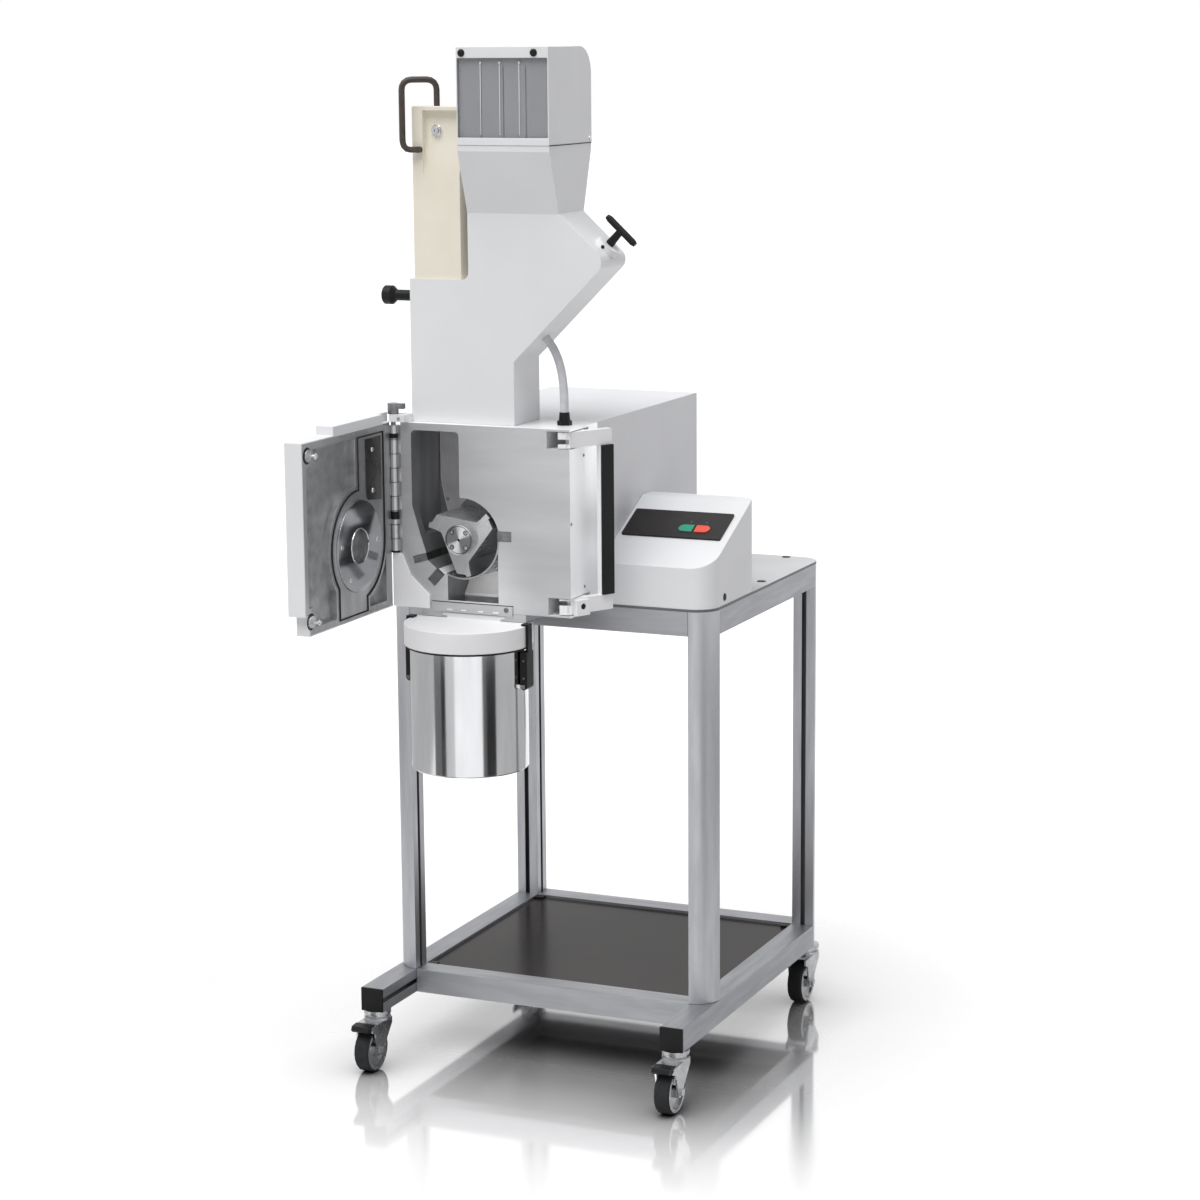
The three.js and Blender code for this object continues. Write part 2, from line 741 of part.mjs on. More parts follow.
function castorFork(name, braked) {
  const inside = FORK_INSIDE / 2;
  const raceTop = FOOT_UNDERSIDE - GAP;
  const crownTop = FORK_CROWN_HEIGHT + FORK_CROWN;
  const race = turned('z', [0, 0, 0], [
    [0, crownTop],
    [RACE_RADIUS - GAP, crownTop],
    [RACE_RADIUS - GAP, crownTop + FORK_CROWN],
    [RACE_NECK_RADIUS, crownTop + FORK_CROWN],
    [RACE_NECK_RADIUS, raceTop - RACE_BAND],
    [RACE_RADIUS, raceTop - RACE_BAND],
    [RACE_RADIUS, raceTop],
    [0, raceTop],
  ], 16);
  const outside = inside + FORK_SHEET;
  const crownEnd = PEDAL_PIVOT_REACH - FORK_EAR;
  const crown = box([-outside, -crownEnd, FORK_CROWN_HEIGHT], [outside, FORK_REAR, crownTop]);
  const axleStart = outside + AXLE_HEAD_HEIGHT;
  const axle = rod('x', [-outside, -CASTOR_TRAIL, WHEEL_RADIUS], 2 * outside, AXLE_RADIUS, 8);
  const bolt = rod('x', [outside, -CASTOR_TRAIL, WHEEL_RADIUS], AXLE_HEAD_HEIGHT, AXLE_HEAD_RADIUS, 6);
  const nutStart = [-axleStart, -CASTOR_TRAIL, WHEEL_RADIUS];
  const nut = rod('x', nutStart, AXLE_HEAD_HEIGHT, AXLE_HEAD_RADIUS / 2, 8, AXLE_HEAD_RADIUS);
  const parts = [crown, race, forkLeg(inside), forkLeg(-outside), axle, bolt, nut];
  if (braked) {
    const pin = [-outside, -PEDAL_PIVOT_REACH, FORK_CROWN_HEIGHT];
    parts.push(rod('x', pin, 2 * outside, PEDAL_PIVOT_RADIUS, 8));
  }
  return piece(name, join(...parts), zincSteel);
}

// The pedal in section, as shares of its length ahead of the pivot and of its height
const pedalShares = [
  [-0.2, 0.45], [-0.35, 0.1], [-0.2, -0.25], [0.15, -0.45], [0.65, -0.3], [0.78, 0.0],
  [0.66, 0.5], [0.1, 0.6],
];

function brakePedal(name) {
  const half = FORK_INSIDE / 2 - GAP;
  const outline = scaled(pedalShares, -PEDAL_LENGTH, PEDAL_HEIGHT);
  const bore = PEDAL_PIVOT_RADIUS + GAP;
  const body = cut(
    prism('x', outline, -half, half),
    rod('x', [-half - OVERRUN, 0, 0], 2 * (half + OVERRUN), bore, 12),
  );
  const mesh = piece(name, body, blackPlastic);
  mesh.position.set(0, -PEDAL_PIVOT_REACH, FORK_CROWN_HEIGHT);
  return mesh;
}

function castors() {
  const holder = new THREE.Group();
  for (const [side, sideLabel] of [[-1, 'left'], [1, 'right']]) {
    for (const [y, label] of [[BAR / 2, 'front'], [STAND_DEPTH - BAR / 2, 'rear']]) {
      const braked = label === 'front';
      const castor = group(side * (HALF_WIDTH - BAR / 2), y, 0);
      castor.add(castorFork(`castor_fork_${label}_${sideLabel}`, braked));
      castor.add(castorWheel(`castor_wheel_${label}_${sideLabel}`));
      if (braked) castor.add(brakePedal(`brake_pedal_${sideLabel}`));
      holder.add(castor);
    }
  }
  return holder;
}

// Tray and housings on the stand

function baseTray() {
  const outline = rounded([
    [-HALF_WIDTH, POST_SETBACK, TRAY_CORNER],
    [HALF_WIDTH, POST_SETBACK, TRAY_CORNER],
    [HALF_WIDTH, STAND_DEPTH, TRAY_CORNER],
    [-HALF_WIDTH, STAND_DEPTH, TRAY_CORNER],
  ]);
  return piece('base_tray', prism('z', outline, STAND_TOP + GAP, TRAY_TOP), whitePaint);
}

function controlHousing() {
  const back = POST_SETBACK + CONTROL_DEPTH;
  const slopeRun = (CONTROL_TOP - CONTROL_FRONT_TOP) / Math.tan(CONTROL_SLOPE * DEGREE);
  const plan = [
    [CONTROL_LEFT, POST_SETBACK, CONTROL_CORNER / 2],
    [HALF_WIDTH, POST_SETBACK, CONTROL_CORNER],
    [HALF_WIDTH, back, CONTROL_CORNER],
    [CONTROL_LEFT, back],
  ];
  const side = [
    [POST_SETBACK, SEAT],
    [back, SEAT],
    [back, CONTROL_TOP],
    [POST_SETBACK + slopeRun, CONTROL_TOP],
    [POST_SETBACK, CONTROL_FRONT_TOP],
  ];
  const shape = (distance, bottom) => {
    const rise = prism('z', rounded(inset(plan, distance)), bottom, CONTROL_TOP + OVERRUN);
    const profile = inset(side, distance).map(([y, z], i) => (i < 2 ? [y, bottom] : [y, z]));
    return rise.intersect(prism('x', profile, CONTROL_LEFT - OVERRUN, HALF_WIDTH + OVERRUN));
  };
  const body = cut(shape(0, SEAT), shape(CONTROL_WALL, SEAT - OVERRUN));
  return piece('control_housing', body, whitePaint);
}

// The panel and its buttons lie in the plane of the slope, with z along its normal
function controlPanel() {
  const slope = CONTROL_SLOPE * DEGREE;
  const width = PANEL_RIGHT - PANEL_LEFT;
  const depth = (PANEL_BACK - PANEL_FRONT) / Math.cos(slope);
  const x = (PANEL_LEFT + PANEL_RIGHT) / 2;
  const y = (PANEL_FRONT + PANEL_BACK) / 2;
  const z = CONTROL_FRONT_TOP + (y - POST_SETBACK) * Math.tan(slope);
  const bottom = -depth / 2 + BUTTON_FRONT;
  const right = width / 2;
  const buttonLow = 2 * GAP + BUTTON_TRAVEL;
  const buttonHigh = GAP + PANEL_THICKNESS + BUTTON_PROUD;
  const outlines = {
    start: buttonOutline(right - START_OFFSET - STOP_OFFSET / 2 - BUTTON_WIDTH / 2, bottom, -1),
    stop: buttonOutline(right - START_OFFSET - BUTTON_WIDTH / 2, bottom, 1),
  };
  const corners = rectangle(-width / 2, -depth / 2, right, depth / 2);
  const sheet = rounded(corners.map(([u, v]) => [u, v, PANEL_CORNER]));
  const holes = Object.values(outlines).map((outline) => prism(
    'z', rounded(inset(outline, -GAP)), 0, PANEL_THICKNESS + OVERRUN,
  ));
  const panel = cut(prism('z', sheet, GAP, GAP + PANEL_THICKNESS), ...holes);
  const button = (outline) => prism('z', rounded(outline), buttonLow, buttonHigh);
  const holder = group(
    x, y, z,
    piece('control_panel', panel, blackPlastic),
    piece('start_button', button(outlines.start), greenButton),
    piece('stop_button', button(outlines.stop), redButton),
  );
  holder.rotation.x = slope;
  return holder;
}

// A button with its outer end round: the end is the left one for side -1, the right one for side 1
function buttonOutline(middle, bottom, side) {
  const outer = middle + (side * BUTTON_WIDTH) / 2;
  const inner = middle - (side * BUTTON_WIDTH) / 2;
  const end = BUTTON_DEPTH / 2 - GAP;
  return [
    [inner, bottom],
    [outer, bottom, end],
    [outer, bottom + BUTTON_DEPTH, end],
    [inner, bottom + BUTTON_DEPTH],
  ];
}

function motorHousing() {
  const front = BLOCK_BACK + GAP;
  const wall = HOUSING_WALL;
  const shell = cut(
    box([-HOUSING_LEFT, front, SEAT], [HOUSING_RIGHT, HOUSING_BACK, HOUSING_TOP]),
    box(
      [-HOUSING_LEFT + wall, front + wall, SEAT - OVERRUN],
      [HOUSING_RIGHT - wall, HOUSING_BACK - wall, HOUSING_TOP - wall],
    ),
    rod('y', [-BORE_OFFSET, front - OVERRUN, BORE_HEIGHT], wall + 2 * OVERRUN, HOUSING_SHAFT_HOLE, 24),
  );
  const middle = (HOUSING_RIGHT - HOUSING_LEFT) / 2;
  const vents = [];
  for (let i = 0; i < VENT_COUNT; i += 1) {
    const bottom = VENT_RISE + i * VENT_PITCH;
    vents.push(box(
      [middle - VENT_LENGTH / 2, HOUSING_BACK - wall - OVERRUN, bottom],
      [middle + VENT_LENGTH / 2, HOUSING_BACK + OVERRUN, bottom + VENT_HEIGHT],
    ));
  }
  return piece('motor_housing', cut(shell, ...vents), greyPaint);
}

function gearMotor() {
  const front = BLOCK_BACK + GAP + HOUSING_WALL + GEARBOX_GAP;
  const back = front + GEARBOX_DEPTH;
  const half = GEARBOX_WIDTH / 2;
  const top = BORE_HEIGHT + GEARBOX_RISE;
  const centre = [-BORE_OFFSET, front - GEARBOX_GAP / 2, BORE_HEIGHT];
  const bore = [-BORE_OFFSET, front - GEARBOX_GAP, BORE_HEIGHT];
  const end = front + GEARBOX_DEPTH + MOTOR_LENGTH;
  const foot = [-BORE_OFFSET - FOOT_WIDTH / 2, front, SEAT];
  const body = join(
    box([-BORE_OFFSET - half, front, SEAT], [-BORE_OFFSET + half, back, top]),
    box(foot, [-BORE_OFFSET + FOOT_WIDTH / 2, end, SEAT + FOOT_THICKNESS]),
    box(
      [-BORE_OFFSET - FOOT_THICKNESS, back, SEAT],
      [-BORE_OFFSET + FOOT_THICKNESS, end, BORE_HEIGHT],
    ),
    rod('y', centre, GEARBOX_GAP, MOTOR_BOSS_RADIUS, 24),
    rod('y', [-BORE_OFFSET, back - OVERRUN, BORE_HEIGHT], MOTOR_LENGTH, MOTOR_RADIUS, 24),
  );
  const shaftHole = rod('y', bore, SHAFT_LENGTH, SHAFT_RADIUS + GAP, 24);
  return piece('gear_motor', cut(body, shaftHole), castMetal);
}

function mainsInlet() {
  const start = HOUSING_BACK + GAP;
  const body = join(
    rod('y', [INLET_RIGHT, start, INLET_HEIGHT], INLET_NUT, INLET_NUT_RADIUS, 6),
    rod('y', [INLET_RIGHT, start, INLET_HEIGHT], INLET_LENGTH, INLET_RADIUS, SMALL_ROUND),
  );
  const holeStart = [INLET_RIGHT, start + INLET_NUT, INLET_HEIGHT];
  const hole = rod('y', holeStart, INLET_LENGTH, INLET_RADIUS / 2, SMALL_ROUND);
  return piece('mains_inlet', cut(body, hole), blackPlastic);
}

// Chamber block

// The left wall of the feed throat, from its straight part down to the lowest cutter,
// as shares of the bore radius from the bore axis
const throatBendShares = [
  [-1.33, 0.75], [-1.127, 0.072], [-0.976, -0.38], [-0.926, -0.576], [-0.69, -0.765],
];

// The fixed cutters: each lies beside a radial face at an angle, and leans off the radius by a tilt
const cutters = [
  { name: 'cutter_right', angle: 0, tilt: 0, reach: CUTTER_REACH, width: CUTTER_WIDTH },
  { name: 'cutter_left', angle: 202.4, tilt: -7, reach: FEED_CUTTER_REACH, width: FEED_CUTTER_WIDTH },
  { name: 'cutter_low', angle: 228, tilt: 0, reach: LOW_CUTTER_REACH, width: CUTTER_WIDTH },
];

// A cutter in front view, from the bore axis, grown by a margin and lengthened inwards
function cutterOutline({ angle, tilt, reach, width }, margin, inwards) {
  const radial = new THREE.Vector2(Math.cos(angle * DEGREE), Math.sin(angle * DEGREE));
  const corner = radial.multiplyScalar(reach);
  const along = (angle + tilt) * DEGREE;
  const out = new THREE.Vector2(Math.cos(along), Math.sin(along));
  const across = new THREE.Vector2(-out.y, out.x);
  const place = (u, v) => {
    const point = corner.clone().addScaledVector(out, u).addScaledVector(across, v);
    return [point.x - BORE_OFFSET, point.y + BORE_HEIGHT];
  };
  return [
    place(-inwards, -margin),
    place(CUTTER_LENGTH + margin, -margin),
    place(CUTTER_LENGTH + margin, width + margin),
    place(-inwards, width + margin),
  ];
}

function fixedCutter(cutter) {
  const outline = cutterOutline(cutter, 0, 0);
  return piece(cutter.name, prism('y', outline, BLOCK_FRONT, CHAMBER_BACK - GAP), darkSteel);
}

function throatOutline() {
  const bend = scaled(throatBendShares, BORE_RADIUS, BORE_RADIUS);
  const right = -THROAT_LEFT + THROAT_WIDTH;
  const corners = [[-THROAT_LEFT, THROAT_RISE], ...bend, [0, 0], [right, 0], [right, THROAT_RISE]];
  return corners.map(([x, z]) => [x - BORE_OFFSET, z + BORE_HEIGHT]);
}

function outletCut() {
  const front = BLOCK_FRONT + OUTLET_FRONT_WALL;
  const back = BLOCK_FRONT + OUTLET_DEPTH;
  const below = SEAT - OVERRUN;
  const profile = [
    [BLOCK_FRONT - OVERRUN, BORE_HEIGHT],
    [BLOCK_FRONT - OVERRUN, BORE_HEIGHT - OUTLET_SILL],
    [front, BORE_HEIGHT - OUTLET_SILL],
    [front, below],
    [back, below],
    [back, BORE_HEIGHT - OUTLET_SLOPE_FOOT],
    [CHAMBER_BACK, BORE_HEIGHT - OUTLET_SLOPE_TOP],
    [CHAMBER_BACK, BORE_HEIGHT],
  ];
  return prism('x', profile, -BORE_OFFSET - OUTLET_LEFT, -BORE_OFFSET + OUTLET_RIGHT);
}

function cornerPocket(bottom, top) {
  const left = BLOCK_RIGHT_X - POCKET_WIDTH;
  const outline = [
    [left, BLOCK_FRONT + POCKET_SLANT],
    [left + POCKET_SLANT, BLOCK_FRONT - OVERRUN],
    [BLOCK_RIGHT_X + OVERRUN, BLOCK_FRONT - OVERRUN],
    [BLOCK_RIGHT_X + OVERRUN, BLOCK_FRONT + POCKET_DEPTH],
    [left, BLOCK_FRONT + POCKET_DEPTH],
  ];
  return prism('z', outline, bottom, top);
}

// Heights at which the knuckles of the hinge barrel meet, from the top down
function knuckleSpan(i) {
  const pitch = (BARREL_TOP - BARREL_BOTTOM) / KNUCKLES;
  const top = BARREL_TOP - i * pitch;
  return [top - pitch + GAP, top];
}

function barrelKnuckle(x, y, i) {
  const [low, high] = knuckleSpan(i);
  return rod('z', [x, y, low], high - low, BARREL_RADIUS, 24);
}

function chamberBlock() {
  const boreLength = CHAMBER_DEPTH + OVERRUN;
  const pinHole = PIVOT_PIN_RADIUS + GAP;
  const pinDepth = PIVOT_PIN_LENGTH + OVERRUN;
  const pinY = PIVOT_BEHIND;
  const hinge = [-HINGE_LEFT, -HINGE_AHEAD];
  const body = cut(
    box([BLOCK_LEFT_X, BLOCK_FRONT, SEAT], [BLOCK_RIGHT_X, BLOCK_BACK, BLOCK_TOP]),
    rod('y', [-BORE_OFFSET, BLOCK_FRONT - OVERRUN, BORE_HEIGHT], boreLength, BORE_RADIUS, ROUND),
    prism('y', throatOutline(), BLOCK_FRONT - OVERRUN, CHAMBER_BACK),
    box([THROAT_LEFT_X, FEED_SETBACK, BORE_HEIGHT], [THROAT_RIGHT_X, CHAMBER_BACK, BLOCK_TOP + OVERRUN]),
    rod('y', [-BORE_OFFSET, CHAMBER_BACK - OVERRUN, BORE_HEIGHT], BLOCK_DEPTH, SHAFT_RADIUS + GAP, 24),
    outletCut(),
    ...cutters.map((cutter) => prism(
      'y', cutterOutline(cutter, GAP, OVERRUN), BLOCK_FRONT - OVERRUN, CHAMBER_BACK,
    )),
    cornerPocket(UPPER_POCKET_BOTTOM, UPPER_POCKET_TOP),
    cornerPocket(LOWER_POCKET_BOTTOM, LOWER_POCKET_TOP),
    rod('z', [PIVOT_RIGHT, pinY, UPPER_POCKET_BOTTOM - pinDepth], pinDepth + OVERRUN, pinHole, SMALL_ROUND),
    rod('z', [PIVOT_RIGHT, pinY, LOWER_POCKET_TOP - OVERRUN], pinDepth + OVERRUN, pinHole, SMALL_ROUND),
  );
  const bracketLeft = hinge[0] - GAP - OVERRUN;
  const bracketFront = hinge[1] - BRACKET_FRONT;
  const bracketBack = hinge[1] + BRACKET_BACK;
  const bracketRight = bracketLeft + BRACKET_WIDTH;
  const doorTop = DOOR_TOP + 2 * GAP;
  const fixed = [
    box([bracketLeft, bracketFront, doorTop], [bracketRight, bracketBack, BRACKET_TOP]),
    box([BLOCK_LEFT_X, BLOCK_FRONT + GAP, BLOCK_TOP - OVERRUN], [bracketRight, bracketBack, BRACKET_TOP]),
  ];
  for (let i = 0; i < KNUCKLES; i += 2) {
    const [low, high] = knuckleSpan(i);
    fixed.push(barrelKnuckle(...hinge, i));
    fixed.push(box(
      [hinge[0], hinge[1] + BARREL_RADIUS - LEAF_THICKNESS, low],
      [BLOCK_LEFT_X + OVERRUN, hinge[1] + BARREL_RADIUS, high],
    ));
  }
  const tunnelStart = [...hinge, BARREL_BOTTOM - OVERRUN];
  const tunnelLength = BRACKET_TOP - BARREL_BOTTOM + 2 * OVERRUN;
  const pinTunnel = rod('z', tunnelStart, tunnelLength, PIN_RADIUS + GAP, 12);
  return piece('chamber_block', cut(join(body, ...fixed), pinTunnel), castMetal);
}

function cornerCover() {
  const left = -BORE_OFFSET - COVER_LEFT;
  const front = BLOCK_FRONT - COVER_PROUD;
  const step = (COVER_TOP - SEAT) / 4;
  const outline = [
    [left, SEAT],
    [left + 3 * step, SEAT],
    [left + 3 * step, SEAT + step],
    [left + step + COVER_SLANT, COVER_TOP - 2 * step + COVER_SLANT],
    [BLOCK_LEFT_X, COVER_TOP],
    [left, COVER_TOP],
  ];
  const body = join(
    prism('y', outline, front, BLOCK_FRONT - GAP),
    box([left, front, SEAT], [BLOCK_LEFT_X - GAP, front + COVER_DEPTH, COVER_TOP]),
  );
  return piece('corner_cover', body, whitePaint);
}

// A curved plate round the lower part of the bore, pierced by rows of holes
function bottomSieve() {
  const outer = BORE_RADIUS - GAP;
  const inner = outer - SIEVE_THICKNESS;
  const low = cutters[2];
  const lowEnd = low.angle + (low.width + GAP) / inner / DEGREE + 1;
  const rightEnd = 360 - (2 * GAP) / inner / DEGREE;
  const outline = [
    ...arc(0, 0, outer, lowEnd, rightEnd, 14),
    ...arc(0, 0, inner, rightEnd, lowEnd, 14),
  ].map(([x, z]) => [x - BORE_OFFSET, z + BORE_HEIGHT]);
  const front = BLOCK_FRONT + GAP;
  const length = CHAMBER_DEPTH - 2 * GAP;
  const plate = prism('y', outline, front, front + length);
  const columns = Math.floor(((rightEnd - lowEnd) * DEGREE * inner) / SIEVE_PITCH);
  const rows = Math.floor(length / SIEVE_PITCH) - 1;
  const holes = [];
  for (let i = 0; i < columns; i += 1) {
    const angle = lowEnd + ((rightEnd - lowEnd) * (i + 0.5)) / columns;
    for (let j = 0; j < rows; j += 1) {
      const y = front + (length * (j + 0.5)) / rows;
      const hole = rod('x', [inner - OVERRUN, 0, 0], SIEVE_THICKNESS + 2 * OVERRUN, SIEVE_HOLE_RADIUS, 6);
      holes.push(moved(hole.rotate([0, -angle, 0]), -BORE_OFFSET, y, BORE_HEIGHT));
    }
  }
  return piece('bottom_sieve', cut(plate, ...holes), brightSteel);
}

// Rotor, built from the front of the block along its own axis

// One third of the rotor section: root, heel and tip by angle and radius
function rotorOutline() {
  const outline = [];
  for (let lobe = 0; lobe < 3; lobe += 1) {
    const corners = [
      [-73, ROTOR_ROOT_RADIUS],
      [20, ROTOR_HEEL_RADIUS],
      [44, ROTOR_TIP_RADIUS - BLADE_PROUD],
    ];
    for (const [angle, radius] of corners) {
      const turn = (angle + 120 * lobe) * DEGREE;
      outline.push([radius * Math.cos(turn), radius * Math.sin(turn)]);
    }
  }
  return outline;
}

function rotor() {
  const front = -ROTOR_FRONT_GAP + BLADE_PROUD;
  const back = CHAMBER_DEPTH - ROTOR_BACK_GAP;
  const capStart = front - CAP_HEIGHT;
  const parts = [
    prism('y', rotorOutline(), front, back),
    rod('y', [0, capStart, 0], CAP_HEIGHT + OVERRUN, CAP_RADIUS, 32),
    rod('y', [0, back - OVERRUN, 0], SHAFT_LENGTH + OVERRUN, SHAFT_RADIUS, 24),
  ];
  const tipInset = ROTOR_TIP_RADIUS - BLADE_LENGTH;
  for (let lobe = 0; lobe < 3; lobe += 1) {
    const blade = box([tipInset, -ROTOR_FRONT_GAP, -BLADE_THICKNESS], [ROTOR_TIP_RADIUS, back, 0]);
    parts.push(blade.rotate([0, -(45 + 120 * lobe), 0]));
  }
  const ringOuter = CAP_RADIUS - CAP_RING_WIDTH;
  const ringFace = capStart + CAP_RING_DEPTH;
  const ring = cut(
    rod('y', [0, capStart - OVERRUN, 0], OVERRUN + CAP_RING_DEPTH, ringOuter, 32),
    rod('y', [0, capStart - 2 * OVERRUN, 0], 3 * OVERRUN, ringOuter - CAP_RING_DEPTH, 32),
  );
  const sockets = [rod('y', [0, capStart - OVERRUN, 0], OVERRUN + CAP_SCREW_RADIUS, CAP_CENTRE_RADIUS, 8)];
  for (let i = 0; i < 4; i += 1) {
    const turn = (45 + 90 * i) * DEGREE;
    const at = [CAP_SCREW_CIRCLE * Math.cos(turn), capStart - OVERRUN, CAP_SCREW_CIRCLE * Math.sin(turn)];
    sockets.push(rod('y', at, ringFace - capStart + OVERRUN, CAP_SCREW_RADIUS, 8));
  }
  const mesh = piece('rotor', cut(join(...parts), ring, ...sockets), brightSteel);
  mesh.position.set(-BORE_OFFSET, BLOCK_FRONT, BORE_HEIGHT);
  return mesh;
}

// Door, from its hinge axis at floor level, as it lies when closed

function doorOutline() {
  return [
    [DOOR_EDGE, SEAT],
    [DOOR_FOOT_WIDTH, SEAT],
    [DOOR_FOOT_WIDTH, DOOR_BOTTOM],
    [DOOR_WIDTH, DOOR_BOTTOM],
    [DOOR_WIDTH, DOOR_TOP],
    [DOOR_EDGE, DOOR_TOP],
  ];
}

// The path of the seal: feed throat above, round the rotor, outlet below
function sealOutline() {
  const upper = 90 + Math.asin(SEAL_NECK / SEAL_RADIUS) / DEGREE;
  const lower = 180 + Math.acos(SEAL_OUTLET_LEFT / SEAL_RADIUS) / DEGREE;
  const right = -Math.acos(SEAL_OUTLET_RIGHT / SEAL_RADIUS) / DEGREE;
  const points = [
    [-SEAL_RADIUS, SEAL_RISE],
    ...arc(0, 0, SEAL_RADIUS, 180, lower, 8),
    [-SEAL_OUTLET_LEFT, -SEAL_DROP],
    [SEAL_OUTLET_RIGHT, -SEAL_DROP],
    ...arc(0, 0, SEAL_RADIUS, right, upper, 10),
    [-SEAL_NECK, SEAL_RISE],
  ];
  return points.map(([x, z]) => [x + BORE_FROM_HINGE, z + BORE_HEIGHT]);
}

function doorShell() {
  const outline = doorOutline();
  const face = -DOOR_FACE_AHEAD;
  const outer = cut(
    prism('y', outline, DOOR_BACK, face),
    box(
      [DOOR_EDGE - OVERRUN, DOOR_BACK - OVERRUN, SEAT - OVERRUN],
      [DOOR_WIDTH, DOOR_BACK + DOOR_THICKNESS - DOOR_FOOT_THICKNESS, DOOR_BOTTOM],
    ),
    prism('y', inset(outline, DOOR_RIM), face - CASTING_DEPTH - GAP, face + OVERRUN),
  );
  const crestTop = DOOR_TOP + DOOR_CREST_HEIGHT;
  const notch = BRACKET_WIDTH + DOOR_RIM;
  const crest = cut(
    box([-DOOR_FACE_AHEAD, DOOR_BACK, DOOR_TOP - DOOR_RIM / 2], [DOOR_CREST_WIDTH, face, crestTop]),
    box([-DOOR_WIDTH, -BRACKET_FRONT - OVERRUN, DOOR_TOP - OVERRUN], [notch, 0, crestTop + OVERRUN]),
  );
  const clearance = BARREL_RADIUS + 2 * GAP;
  const barrelCut = rod('z', [0, 0, SEAT - OVERRUN], DOOR_TOP - SEAT + OVERRUN, clearance, 24);
  const barrelRoom = cut(outer, barrelCut);
  const knuckles = [];
  for (let i = 1; i < KNUCKLES; i += 2) {
    const [low, high] = knuckleSpan(i);
    const leafEnd = -BARREL_RADIUS - LEAF_THICKNESS;
    knuckles.push(barrelKnuckle(0, 0, i));
    knuckles.push(box([0, leafEnd, low], [DOOR_EDGE + DOOR_RIM, -PIN_RADIUS - GAP, high]));
  }
  const tunnel = rod('z', [0, 0, SEAT], BRACKET_TOP - SEAT, PIN_RADIUS + GAP, 12);
  return piece('door_shell', cut(join(barrelRoom, crest, ...knuckles), tunnel), whitePaint);
}

function stud(height) {
  const face = -DOOR_FACE_AHEAD;
  const collarEnd = face + STUD_COLLAR_HEIGHT;
  const neckEnd = collarEnd + STUD_NECK_LENGTH;
  const seat = face + GAP;
  return join(
    rod('y', [STUD_REACH, seat, height], collarEnd - seat, STUD_COLLAR_RADIUS, 20),
    rod('y', [STUD_REACH, collarEnd, height], STUD_NECK_LENGTH + OVERRUN, STUD_NECK_RADIUS, 12),
    rod('y', [STUD_REACH, neckEnd, height], STUD_HEAD_HEIGHT, STUD_HEAD_RADIUS, 16, STUD_HEAD_RADIUS / 2),
  );
}

function doorCasting() {
  const face = -DOOR_FACE_AHEAD;
  const outline = inset(doorOutline(), DOOR_RIM + GAP);
  const bottom = face - CASTING_DEPTH;
  const bore = [BORE_FROM_HINGE, 0, BORE_HEIGHT];
  const lands = [
    prism('y', inset(sealOutline(), -SEAL_MARGIN), bottom, face),
    rod('y', [STUD_REACH, bottom, UPPER_STUD_HEIGHT], CASTING_DEPTH, STUD_COLLAR_RADIUS + SEAL_MARGIN, 20),
    rod('y', [STUD_REACH, bottom, LOWER_STUD_HEIGHT], CASTING_DEPTH, STUD_COLLAR_RADIUS + SEAL_MARGIN, 20),
    box(
      [DOOR_EDGE, bottom, SEAT],
      [DOOR_EDGE + BARREL_RADIUS + 2 * SEAL_MARGIN, face, DOOR_TOP],
    ),
  ];
  const relief = cut(
    prism('y', inset(outline, CASTING_BORDER), face - CASTING_RELIEF, face + OVERRUN),
    ...lands,
  );
  const recess = PLATE_THICKNESS - PLATE_PROUD + GAP;
  const clearance = BARREL_RADIUS + 3 * GAP;
  const body = cut(
    prism('y', outline, bottom, face),
    relief,
    rod('y', [bore[0], face - recess, bore[2]], recess + OVERRUN, PLATE_RADIUS + GAP, ROUND),
    rod('y', [bore[0], face - PLATE_BORE_DEPTH, bore[2]], PLATE_BORE_DEPTH, PLATE_BORE_RADIUS, 32),
    rod('z', [0, 0, SEAT - OVERRUN], DOOR_TOP - SEAT + OVERRUN, clearance, 24),
  );
  const rootLength = CASTING_DEPTH + STUD_COLLAR_HEIGHT;
  const studs = [UPPER_STUD_HEIGHT, LOWER_STUD_HEIGHT].map((height) => join(
    stud(height),
    rod('y', [STUD_REACH, bottom, height], rootLength, STUD_NECK_RADIUS / 2, 12),
  ));
  return piece('door_casting', join(body, ...studs), castMetal);
}

function doorPlate() {
  const start = -DOOR_FACE_AHEAD + PLATE_PROUD - PLATE_THICKNESS;
  const boreStart = [BORE_FROM_HINGE, start - OVERRUN, BORE_HEIGHT];
  const body = cut(
    rod('y', [BORE_FROM_HINGE, start, BORE_HEIGHT], PLATE_THICKNESS, PLATE_RADIUS, ROUND),
    rod('y', boreStart, PLATE_THICKNESS + 2 * OVERRUN, PLATE_BORE_RADIUS, 32),
  );
  return piece('door_plate', body, brightSteel);
}

function door() {
  const holder = group(-HINGE_LEFT, -HINGE_AHEAD, 0, doorShell(), doorCasting(), doorPlate());
  holder.rotation.z = -90 * DEGREE;
  return holder;
}

function hingePin() {
  const knobStart = BRACKET_TOP + GAP;
  const knobMiddle = knobStart + KNOB_HEIGHT / 2;
  const body = join(
    rod('z', [0, 0, BARREL_BOTTOM], knobStart - BARREL_BOTTOM + OVERRUN, PIN_RADIUS, 12),
    rod('z', [0, 0, knobStart], KNOB_HEIGHT, KNOB_RADIUS, 20),
    box(
      [0, -KNOB_WING_WIDTH / 2, knobMiddle],
      [KNOB_WING, KNOB_WING_WIDTH / 2, knobStart + KNOB_HEIGHT],
    ),
  );
  const mesh = piece('hinge_pin', body, darkSteel);
  mesh.position.set(-HINGE_LEFT, -HINGE_AHEAD, 0);
  return mesh;
}

// Closing yoke, from its pivot axis at floor level, with its arms along y

